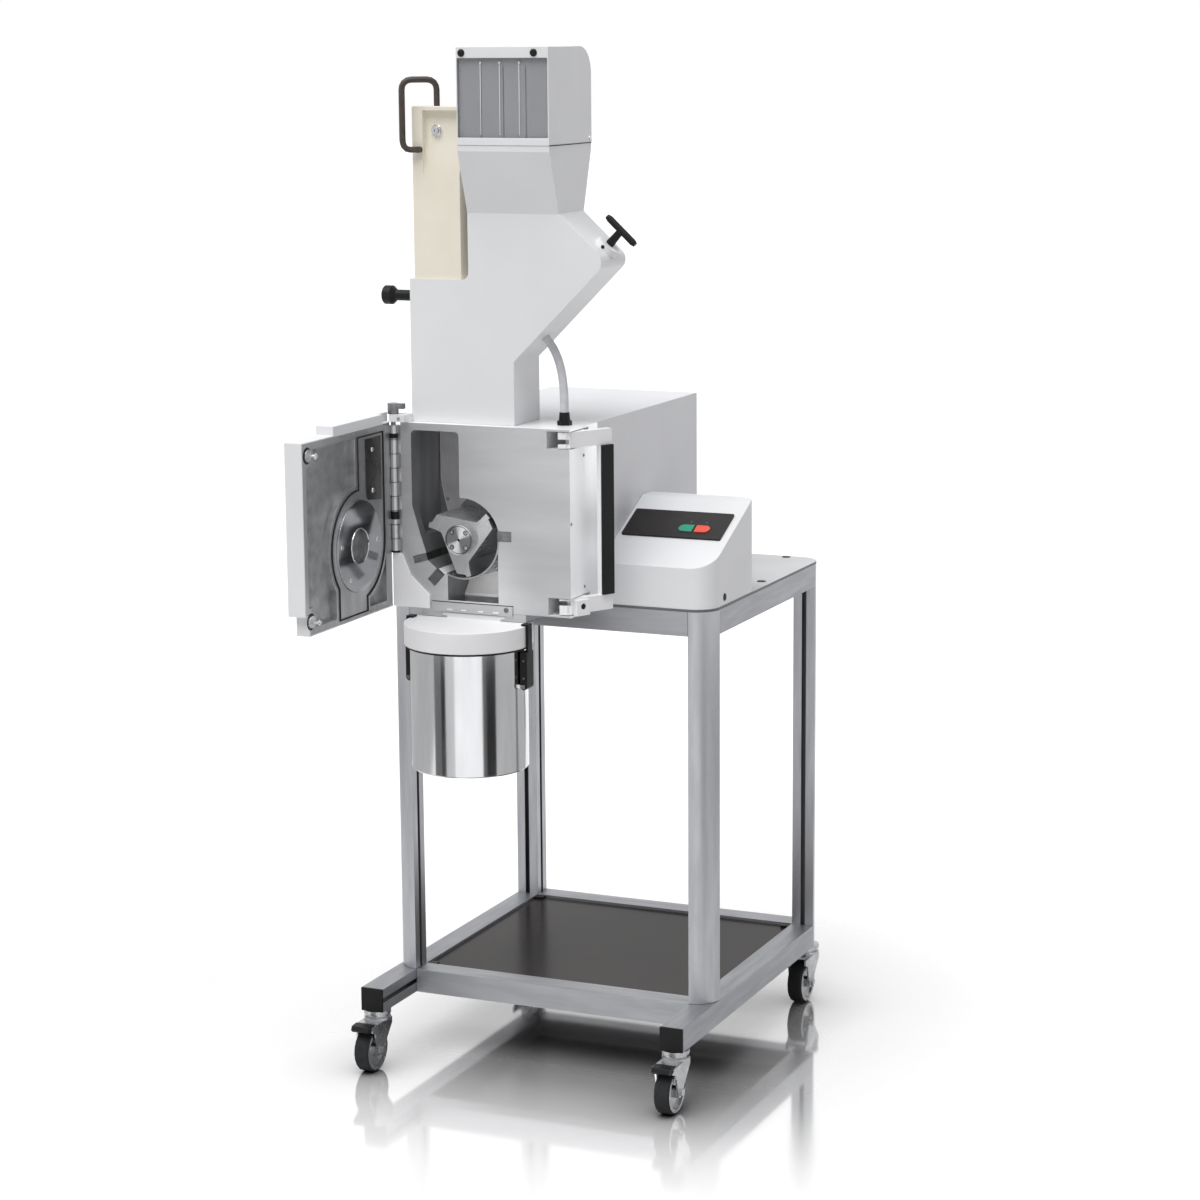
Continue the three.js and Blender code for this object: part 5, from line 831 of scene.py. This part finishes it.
@dataclass
class Chamber:
    """The block with its bore, cutters, sieve and rotor."""

    shop: Workshop
    bore_x: float = -82.3
    front: float = -12.0
    back: float = 91.0
    right: float = 107.0
    throat_top: float = 1085.5
    cap_front: float = -24.2
    hinge_side: float = -189.5
    cover_foot: float = 1096.5
    housing_face: float = 96.5
    pocket_side: float = 60.0
    outlet_top: float = 862.0
    slope_back: float = 40.0
    slope_foot: float = 816.0
    slope_lift: float = 0.3
    ring_radius: float = 22.8
    cap_radius: float = 24.8
    flush: float = 0.2
    cutter_screws: Sequence[tuple[float, float]] = ((-2.5, 922.2), (-158.5, 877.8), (-131.5, 847.5))
    side_screws: Sequence[tuple[float, float]] = ((42.0, 1051.0), (41.5, 841.0), (-8.0, 948.0))
    liner_edge: Sequence[tuple[float, float]] = (
        (-153.8, 930.5), (-161.7, 960.0), (-167.0, 985.0), (-168.6, 1000.0), (-168.6, 1077.0),
    )
    throat_sides: tuple[float, float] = (-170.5, -85.7)

    def surface(self, face: BMFace) -> int:
        """Gives the index of the finish of a face of the block."""
        middle = face.calc_center_median() / MM
        normal = face.normal
        y = middle.y + FRONT_SHIFT
        if middle.x < self.hinge_side and middle.z < HINGE_TOP:
            return BlockSkin.HINGE
        if middle.z > self.cover_foot:
            return BlockSkin.PAINT
        if abs(normal.y) > SQUARE and abs(y - self.front) < self.flush:
            return BlockSkin.MILLED
        if normal.x > SQUARE and middle.x > self.right - self.flush:
            return BlockSkin.SIDE
        on_left = normal.x < -SQUARE and middle.x < self.hinge_side + 1.0
        if on_left or (normal.y > SQUARE and y > self.housing_face):
            return BlockSkin.PAINT
        # The pocket walls' finish is painted light
        if middle.x > self.pocket_side:
            return BlockSkin.POCKET_PAINTED_LIGHT
        # The outlet slope's faces get the painted highlight finish
        on_foot = normal.y < -SQUARE and y > self.slope_back and middle.z < self.slope_foot
        if middle.z < self.outlet_top and (normal.z > self.slope_lift or on_foot):
            return BlockSkin.SLOPE
        return BlockSkin.WALL

    def throat_corner(self, edge: BMEdge) -> bool:
        """Tells whether an edge is one of the two upper corners of the feed throat."""
        one, two = (vert.co / MM for vert in edge.verts)
        level = all(abs(end.z - self.throat_top) < self.flush for end in (one, two))
        across = min(abs(one.x - side) for side in self.throat_sides)
        straight = abs(one.x - two.x) < self.flush and abs(one.y - two.y) > 1.0
        return level and straight and across < 2 * self.flush

    def rotor_surface(self, face: BMFace) -> int:
        """Tells the lobes of the rotor, its turned cap, the ring in it and its flanks apart."""
        middle = face.calc_center_median() / MM
        places = [vert.co / MM for vert in face.verts]
        reach = max(math.hypot(place.x - self.bore_x, place.z - BORE_Z) for place in places)
        y = middle.y + FRONT_SHIFT
        if reach < self.ring_radius and y > self.cap_front + self.flush / 2:
            return RotorSkin.RING
        if reach < self.cap_radius and y < self.cap_front + self.flush / 2:
            return RotorSkin.CAP
        return RotorSkin.LOBE if face.normal.y < -SQUARE else RotorSkin.FLANK

    def dress(self) -> None:
        """Gives the chamber and its tools their finish."""
        self.shop.coat(
            "chamber_block", (MILLED, PAINT, CHAMBER, KNUCKLE, OUTLET_HIGHLIGHT, MILLED_SIDE, POCKET_PAINTED_LIGHT), 0.5,
            self.surface, fillet=self.throat_corner, fillet_radius=8.0,
        )
        # The corner cover gets the lightened paint as painted light
        self.shop.coat_each(("corner_cover", PAINT_LIGHTENED, 0.8), ("bottom_sieve", KNUCKLE, 0.0))
        for side in ("right", "left", "low"):
            self.shop.coat(f"cutter_{side}", TOOL_STEEL, 0.4)
        self.shop.coat("rotor", (ROTOR_STEEL, CAP_STEEL_WITH_REFLECTION, SEAL, FLANK), 0.3, self.rotor_surface)
        self.shop.coat_each(
            ("hinge_pin", TOOL_STEEL, 0.8), ("conduit", HOSE, 0.0), ("conduit_gland", BLACK, 0.4)
        )
        self.line_throat()
        # The hinge leaf, in shade behind the barrel, wears the lightened paint as painted light
        leaf = (at(-199.4, -5.8, 886.0), at(-189.3, -4.0, 1092.0))
        self.shop.small("hinge_leaf", add_block, [leaf], PAINT_LIGHTENED)
        liner_screw = (at(-157.0, self.back - 1.2, 960.0), FRONT, 3.2, 1.0)
        cover_screw = (at(-186.0, -24.0, 1104.0), FRONT, 3.0, 1.0)
        cutters = [(at(x, self.front, z), FRONT, 2.2, 0.6) for x, z in self.cutter_screws]
        sides = [(at(self.right, y, z), RIGHT, 2.6, 0.8) for y, z in self.side_screws]
        ring = arc(self.bore_x, BORE_Z, 17.0, 45.0, 315.0, 3)
        heads = [(at(x, self.cap_front + 1.0, z), FRONT, 3.6, 1.0) for x, z in ring]
        for name, screws, finish, body in (
            ("chamber_screws", [liner_screw, cover_screw], BRIGHT, "machine"),
            ("cutter_screws", cutters, TOOL_STEEL, "machine"),
            ("side_screws", sides, TOOL_STEEL, "machine"),
            ("rotor_cap_screws", heads, POLISHED, "rotor_body"),
        ):
            self.shop.small(name, add_screw, screws, finish, body)
        self.shop.small("hinge_sleeves", add_turned, self.hinge_sleeves(), BLACK)

    def line_throat(self) -> None:
        """Adds the plate on the back wall of the feed throat, with its slanted foot and a painted highlight
        along its edge.
        """
        arch = arc(self.bore_x, BORE_Z, 62.8, 94.0, 165.0, 12)
        outline = [(-162.0, 1084.8), (-94.4, 1084.8), (-86.4, 1076.8), *arch, *self.liner_edge]
        place = facing(at(0, self.back, 0), FRONT)
        corners = on_plane(place, [at(x, self.back, z) for x, z in outline])
        self.shop.small("throat_liner", add_plate, [(corners, place, 1.2)], LINER)
        # A bright wire along the liner's edge: a painted highlight
        edge = [at(x, self.back - 1.4, z) for x, z in self.liner_edge]
        self.shop.wire("liner_edge", edge, 0.7, PALE_MARK_AND_HIGHLIGHT, "machine")

    def hinge_sleeves(self) -> list[tuple[Outline, Matrix, int]]:
        """Gives the black sleeves of the hinge barrel and the dark joints of its knuckles."""
        low, high, knuckles, half_joint = 885.6, 1092.0, 9, 0.5
        joints = [low + (high - low) / knuckles * i for i in range(1, knuckles)]
        spans = (
            (1071.0, 1079.0), (886.0, 889.0), (940.0, 953.0),
            *((z - half_joint, z + half_joint) for z in joints),
        )
        axis = facing(at(HINGE_X, HINGE_Y, 0), UP)
        return [([(6.4, a), (6.9, a), (6.9, b), (6.4, b)], axis, 24) for a, b in spans]


@dataclass
class Door:
    """The open door, seen on its inner face."""

    shop: Workshop
    face: float = -4.2
    bore: float = 118.5
    knuckle_reach: float = 7.2
    level: float = 0.4
    seal_radius: float = 88.0

    def on_face(self, reach: float, height: float, proud: float = 0.0) -> Vector:
        """Gives a place on the inner face: mm from the hinge axis, mm up and mm in front of the face."""
        return at(HINGE_X + self.face + proud, HINGE_Y - reach, height)

    def shell_surface(self, face: BMFace) -> int:
        """Tells the painted shell and its bright knuckles apart."""
        middle = face.calc_center_median() / MM
        away = math.hypot(middle.x - HINGE_X, middle.y + FRONT_SHIFT - HINGE_Y)
        return int(away < self.knuckle_reach and middle.z < HINGE_TOP)

    def casting_surface(self, face: BMFace) -> int:
        """Tells the bare casting, its bright studs and its milled land apart."""
        middle = face.calc_center_median() / MM
        proud = middle.x - HINGE_X - self.face
        if proud > self.level:
            return 1
        return 2 if proud > -self.level and face.normal.x > SQUARE else 0

    def dress(self) -> None:
        """Gives the door its finish, its seal and its small parts."""
        self.shop.coat("door_shell", (PAINT, KNUCKLE), 0.8, self.shell_surface)
        self.shop.coat("door_casting", (CAST, BRIGHT, LAND), 1.0, self.casting_surface)
        self.shop.coat("door_plate", POLISHED, 0.6)
        self.shop.wire("door_seal", self.seal_path(), 1.9, SEAL, "door", closed=True)
        liner = [(39.0, 1080.0), (91.0, 1080.0), (91.0, 990.0), (84.0, 983.0), (39.0, 978.0)]
        place = facing(self.on_face(0, 0), RIGHT)
        corners = on_plane(place, [self.on_face(u, v) for u, v in liner])
        self.shop.small("door_liner", add_plate, [(corners, place, 1.0)], DOOR_LINER, "door")
        # Thin black rings round the door studs: a painted shadow
        shadow_ring = [(10.3, 0.05), (13.2, 0.05), (12.8, 0.4), (10.3, 0.4)]
        shadow_rings = [(shadow_ring, facing(self.on_face(277.0, height), RIGHT), 32) for height in (1077.7, 821.0)]
        self.shop.small("stud_seats", add_turned, shadow_rings, SEAL, "door")
        heads = [(self.on_face(68.0, height, 1.0), RIGHT, 4.2, 1.2) for height in (1061.0, 996.0)]
        for angle in (174.0, 238.0, 2.0):
            turn = math.radians(angle)
            reach, height = self.bore - 59.0 * math.cos(turn), BORE_Z + 59.0 * math.sin(turn)
            heads.append((self.on_face(reach, height, 3.0), RIGHT, 4.2, 1.0))
        self.shop.small("door_screws", add_screw, heads, BRIGHT, "door")
        rim = [(27.4, -2.0), (29.4, -0.2), (29.0, 0.9), (27.8, 1.0), (27.0, 0.2)]
        bore = facing(self.on_face(self.bore, BORE_Z, 3.0), RIGHT)
        self.shop.small("door_bore_rim", add_turned, [(rim, bore, 64)], POLISHED, "door")

    def seal_path(self) -> list[Vector]:
        """Gives the path of the seal: feed throat above, round the rotor, outlet below."""
        radius = self.seal_radius
        lower = 180 + math.degrees(math.acos(26.0 / radius))
        right = -math.degrees(math.acos(66.0 / radius))
        upper = 90 + math.degrees(math.asin(3.0 / radius))
        outline = [
            (-radius, 171.0), *arc(0, 0, radius, 180, lower, 20), (-26.0, -108.0), (66.0, -108.0),
            *arc(0, 0, radius, right, upper, 26), (-3.0, 171.0),
        ]
        return [self.on_face(self.bore + u, BORE_Z + v, 0.2) for u, v in outline]


@dataclass
class ClosingYoke:
    """The yoke that draws the door shut."""

    shop: Workshop
    pivot_x: float = 89.0
    pivot_y: float = 42.0
    turn: float = -28.0

    def dress(self) -> None:
        """Gives the yoke, its grip and its plug their finish."""
        # The yoke wears the lightened copy of the white powder coat, which is painted light
        self.shop.coat_each(("closing_yoke", PAINT_LIGHTENED, 1.0), ("yoke_grip", BLACK, 1.0))
        angle = math.radians(self.turn)
        normal = Vector((math.cos(angle), math.sin(angle), 0.0))
        across = Vector((-math.sin(angle), math.cos(angle), 0.0))
        foot = at(self.pivot_x, self.pivot_y, 815.0) + (normal * 41.1 + across * -15.5) * MM
        self.shop.small("catch_plug", add_screw, [(foot, normal, 4.9, 2.2, Drive.DOME)], BLACK, "yoke")


@dataclass
class Hopper:
    """The hopper with its hood, curtain and clamp handle."""

    shop: Workshop
    hood_front: float = -28.0
    hood_middle: tuple[float, float, float] = (6.0, 53.0, 1610.0)
    strip_joints: tuple[float, ...] = (-32.5, 0.2, 33.3)

    def hood_surface(self, face: BMFace) -> int:
        """Tells the painted outside of the hood and its bare inside apart."""
        inward = at(*self.hood_middle) - face.calc_center_median()
        middle = face.calc_center_median() / MM
        on_front = middle.y + FRONT_SHIFT < self.hood_front + 0.5
        return int(inward.dot(face.normal) > 0 and not on_front)

    def dress(self) -> None:
        """Gives the hopper its finish and its screws."""
        self.shop.coat("hopper_body", PAINT, 1.2, smooth=17.5)
        self.shop.coat("hopper_hood", (PAINT, MILLED), 0.8, self.hood_surface)
        self.shop.coat("hopper_curtain", CLEAR, 0.0)
        self.shop.coat("t_handle", BLACK, 1.4, steps=3)
        heads = [(at(x, self.hood_front, 1677.0), FRONT, 6.0, 3.6, Drive.DOME) for x in (-63.0, 60.0)]
        self.shop.small("hood_screws", add_screw, heads, BLACK)
        self.shop.small("curtain_screws", add_screw, [
            *((at(x, self.hood_front + 5.0, 1662.0), FRONT, 2.2, 1.0) for x in self.strip_joints),
            (at(84.6, 127.0, 1544.0), RIGHT, 3.6, 2.0, Drive.DOME),
            (at(-72.5, -20.0, 1544.0), LEFT, 3.6, 2.0, Drive.DOME),
        ], BRIGHT)
        # Bright bars at the curtain strips' edges: painted highlights
        edge_highlights = [(at(x - 0.5, -24.2, 1552.0), at(x + 0.5, -23.7, 1660.0)) for x in self.strip_joints]
        self.shop.small("strip_edges", add_block, edge_highlights, PALE_MARK_AND_HIGHLIGHT)
        # A thin black strip along the skirt's bottom edge: a painted shadow line
        shadow_line = (at(84.7, -27.0, 1535.5), at(85.5, 131.0, 1536.9))
        self.shop.small("skirt_joint", add_block, [shadow_line], SEAL)
        plug = (at(146.8, 32.0, 1379.8), FRONT, 3.0, 0.5, Drive.DOME)
        self.shop.small("boss_plug", add_screw, [plug], BLACK)


@dataclass
class PlungerSet:
    """The plunger with its handle and the indexing knob."""

    shop: Workshop

    def dress(self) -> None:
        """Gives the plunger, handle and knob their finish."""
        self.shop.coat("plunger", IVORY, 1.2, steps=3)
        self.shop.coat_each(("plunger_handle", BROWN, 0.0), ("index_knob", BLACK, 0.8))
        foot, washer = at(-129.3, 15.3, 1557.4), 1.2
        head = foot + Vector(FRONT) * washer * MM
        heads = [(foot, FRONT, 8.8, washer, Drive.FLAT), (head, FRONT, 5.2, 3.0)]
        self.shop.small("plunger_bolt", add_screw, heads, ZINC, "plunger_body")


@dataclass
class Collector:
    """The lid, jar, clips and rails under the outlet."""

    shop: Workshop
    axis_x: float = -64.0
    axis_y: float = -30.0

    def dress(self) -> None:
        """Gives the collector its finish and its small parts."""
        self.shop.coat("collector_lid", LID, 2.4, steps=4)
        self.shop.coat_each(
            ("collector_jar", JAR_STEEL, 0.5), ("clip_left", BLACK, 0.9),
            ("clip_right", BLACK, 0.9), ("outlet_rails", MILLED, 0.3),
        )
        rim = [(94.8, 747.6), (100.6, 747.6), (101.4, 749.0), (101.4, 750.8), (94.8, 750.8)]
        axis = facing(at(self.axis_x, self.axis_y, 0), UP)
        self.shop.small("lid_gasket", add_turned, [(rim, axis, 72)], SEAL, "collector")
        places = (-105.0, -80.0, -50.0, -23.0)
        marks = [(at(x - 5.0, -14.9, 797.6), at(x + 5.0, -14.2, 799.8)) for x in places]
        self.shop.small("flap_marks", add_block, marks, PALE_MARK_AND_HIGHLIGHT)
        self.shop.small("flap_screw", add_screw, [(at(-5.0, -14.3, 804.0), FRONT, 4.2, 1.4)], TOOL_STEEL)
        self.shop.small("flap_joint", add_block, [(at(-137.0, -12.8, 809.9), at(7.0, -12.1, 811.0))], SEAL)
        heads = [(at(37.5, self.axis_y - 12.5, z), FRONT, 1.8, 0.6) for z in (702.0, 730.0)]
        self.shop.small("clip_screws_right", add_screw, heads, TOOL_STEEL, "clip_right_body")


# Stage, lamps and camera


@dataclass
class Studio:
    """Plain floor, soft lamps and the camera."""

    eye: tuple[float, float, float] = (2.029071, -4.46428, 1.704675)
    down: float = 10.599
    left: float = 23.651
    roll: float = -0.425
    lens: float = 90.79
    near: float = 0.45
    far: float = 1.2
    mirror_front: float = -0.58
    mirror_back: float = 0.0
    # Reach in metres of the painted contact shade on the floor
    contact_reach: float = 0.16
    mirror_least: float = 0.06
    mirror_most: float = 0.7
    near_gloss: float = 0.07
    far_gloss: float = 0.4
    far_glow: float = 0.12
    floor_shine: float = 0.4
    floor_width: float = 80.0
    seen_tone: float = 0.94
    bounced_tone: float = 0.55
    world_tint: tuple[float, float, float] = (0.985, 0.975, 1.0)
    world_strength: float = 0.33
    jar: tuple[float, float] = (-0.064, -0.208)
    card_distance: float = 1.7
    card_height: float = 0.46

    def camera(self) -> None:
        """Sets the camera at the photograph's place."""
        data = bpy.data.cameras.new("camera")
        data.lens = self.lens
        data.sensor_width = 36.0
        camera = enter("camera", data)
        turn = Matrix.Rotation(math.radians(self.left), 4, "Z")
        tilt = Matrix.Rotation(math.radians(90.0 - self.down), 4, "X")
        roll = Matrix.Rotation(math.radians(self.roll), 4, "Z")
        camera.matrix_world = Matrix.Translation(self.eye) @ turn @ tilt @ roll
        bpy.context.scene.camera = camera

    def sheet(self, name: str, width: float, height: float, material: bpy.types.Material) -> bpy.types.Object:
        """Makes a flat rectangle of the stage, with a size in metres, on the middle of the floor."""
        bm = bmesh.new()
        size = Matrix.Diagonal((width / 2, height / 2, 1.0, 1.0))
        bmesh.ops.create_grid(bm, x_segments=1, y_segments=1, size=1.0, matrix=size)
        mesh = bpy.data.meshes.new(name)
        bm.to_mesh(mesh)
        bm.free()
        mesh.materials.append(material)
        return enter(name, mesh)

    def floor(self) -> None:
        """Adds the pale floor, which keeps the mill's shadow and a faint mirror image, and whose colour
        ambient occlusion darkens near the mill as painted contact shade.
        """
        material, shader = open_material(
            "Pale floor", {"Specular IOR Level": self.floor_shine, "Emission Strength": self.far_glow}
        )
        tree = material.node_tree
        tones = {"A": grey(self.seen_tone), "B": grey(self.bounced_tone)}
        path = add_node(tree, "LightPath")
        place = add_node(tree, "TexCoord")
        pale = add_node(tree, "Mix", tones, data_type="RGBA")
        # Ambient occlusion darkens the floor's colour near the mill: painted contact shade
        painted_contact_shade = add_node(tree, "AmbientOcclusion", {"Distance": self.contact_reach}, samples=8)
        reach = add_node(tree, "VectorMath", operation="LENGTH")
        far = add_node(tree, "MapRange", {"From Min": self.near, "From Max": self.far})
        gloss = add_node(tree, "MapRange", {"To Min": self.near_gloss, "To Max": self.far_gloss})
        split = add_node(tree, "SeparateXYZ")
        mirror = add_node(tree, "MapRange", {
            "From Min": self.mirror_front, "From Max": self.mirror_back,
            "To Min": self.mirror_least, "To Max": self.mirror_most,
        }, interpolation_type="SMOOTHSTEP")
        fade = add_node(tree, "Math", {0: 1.0}, operation="SUBTRACT")
        faint = add_node(tree, "Math", operation="MULTIPLY")
        seen = add_node(tree, "Math", operation="MAXIMUM")
        glow = add_node(tree, "Math", operation="MULTIPLY")
        join(
            tree,
            (path, "Is Diffuse Ray", pale, "Factor"), (pale, "Result", painted_contact_shade, "Color"),
            (painted_contact_shade, "Color", shader, "Base Color"), (place, "Object", reach, 0),
            (reach, "Value", far, "Value"), (far, "Result", gloss, "Value"),
            (gloss, "Result", shader, "Roughness"), (place, "Object", split, "Vector"),
            (split, "Y", mirror, "Value"), (far, "Result", fade, 1), (mirror, "Result", faint, 0),
            (fade, "Value", faint, 1), (faint, "Value", shader, "Metallic"),
            (path, "Is Camera Ray", seen, 0), (path, "Is Glossy Ray", seen, 1),
            (seen, "Value", glow, 0), (far, "Result", glow, 1), (glow, "Value", shader, "Emission Color"),
        )
        self.sheet("floor", self.floor_width, self.floor_width, material)

    def world(self) -> None:
        """Sets a soft white world that shows white behind the mill."""
        world = bpy.data.worlds.new("studio")
        world.use_nodes = True
        tree = world.node_tree
        light = tree.nodes["Background"]
        light.inputs["Color"].default_value = (*self.world_tint, 1.0)
        light.inputs["Strength"].default_value = self.world_strength
        white = add_node(tree, "Background", {"Strength": 1.0, "Color": grey(1.0)})
        path = add_node(tree, "LightPath")
        seen = add_node(tree, "Math", operation="MAXIMUM")
        through = add_node(tree, "Math", operation="MAXIMUM")
        mix = add_node(tree, "MixShader")
        join(
            tree,
            (path, "Is Camera Ray", seen, 0), (path, "Is Glossy Ray", seen, 1), (seen, "Value", through, 0),
            (path, "Is Transmission Ray", through, 1), (through, "Value", mix, "Fac"),
            (light, "Background", mix, 1), (white, "Background", mix, 2),
            (mix, "Shader", tree.nodes["World Output"], "Surface"),
        )
        bpy.context.scene.world = world

    def lamp(self, name: str, kind: str, place: Sequence[float], towards: Sequence[float],
             **settings: float) -> bpy.types.Object:
        """Adds a lamp.

        Args:
            name: Its name.
            kind: SUN or SPOT.
            place: Where it stands.
            towards: The direction from which its light comes.
            **settings: Its own settings.

        Returns:
            The lamp.
        """
        data = bpy.data.lights.new(name, kind)
        for setting, value in settings.items():
            setattr(data, setting, value)
        lamp = enter(name, data)
        lamp.matrix_world = facing(Vector(place), towards)
        return lamp

    def light_outlet(self, lit: str) -> None:
        """Adds a narrow lamp at the outlet that lights one piece only."""
        place, target = Vector((-0.03, -3.1, 0.92)), Vector((-0.05, -0.12, 0.835))
        lamp = self.lamp(
            "outlet_spot", "SPOT", place, place - target, energy=200.0,
            spot_size=math.radians(2.6), spot_blend=0.9, shadow_soft_size=0.05,
        )
        group = bpy.data.collections.new("outlet_spot_lit")
        group.objects.link(bpy.data.objects[lit])
        lamp.light_linking.receiver_collection = group

    def card(self, name: str, start: float, end: float, tone: float) -> None:
        """Adds a studio card round the jar that only shows in bright metal.

        Args:
            name: Name of the card.
            start: First direction in degrees from the front towards the right.
            end: Last direction in degrees.
            tone: Its brightness.
        """
        middle = math.radians((start + end) / 2)
        width = 2 * self.card_distance * math.tan(math.radians((end - start) / 2))
        material, _ = open_material(name, {
            "Base Color": grey(0.0), "Specular IOR Level": 0.0,
            "Emission Color": grey(tone), "Emission Strength": 1.0,
        })
        card = self.sheet(name, width, self.card_height, material)
        outward = Vector((math.sin(middle), -math.cos(middle), 0.0))
        place = Vector((*self.jar, self.card_height / 2)) + outward * self.card_distance
        card.matrix_world = facing(place, -outward)
        card.visible_camera = card.visible_diffuse = card.visible_shadow = card.visible_transmission = False

    def build(self) -> None:
        """Builds the whole studio."""
        self.camera()
        self.floor()
        self.world()
        wide = math.radians(50.0)
        self.lamp("sky", "SUN", (0.0, 0.0, 4.0), (-0.1, -0.42, 1.0), energy=2.85, angle=wide)
        self.light_outlet("chamber_block_dressed")
        for card in (
            ("left_grey", -150.0, -45.5, 0.56), ("left_shade", -45.0, -30.0, 0.17),
            ("left_dark", -30.0, -21.0, 0.03), ("left_pale", -21.0, -3.0, 0.74),
            ("right_shade", 50.0, 58.0, 0.12), ("right_dark", 58.0, 77.0, 0.02),
            ("right_grey", 77.5, 158.0, 0.56),
        ):
            self.card(*card)


def main() -> None:
    """Builds the mill's looks and its studio."""
    logging.basicConfig(level=logging.INFO, format="%(name)s: %(message)s")
    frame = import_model()
    for build_group in (mottle_group, streak_group, turned_reflection_group):
        build_group()
    shop = Workshop.from_frame(frame)
    parts = (
        WheeledStand, ControlBox, DriveHousing, Chamber, Door, ClosingYoke, Hopper, PlungerSet, Collector
    )
    for part in parts:
        part(shop).dress()
        log.info("%s is dressed", part.__name__)
    Studio().build()
    bpy.context.scene.view_settings.view_transform = "Standard"


if __name__ == "__main__":
    main()
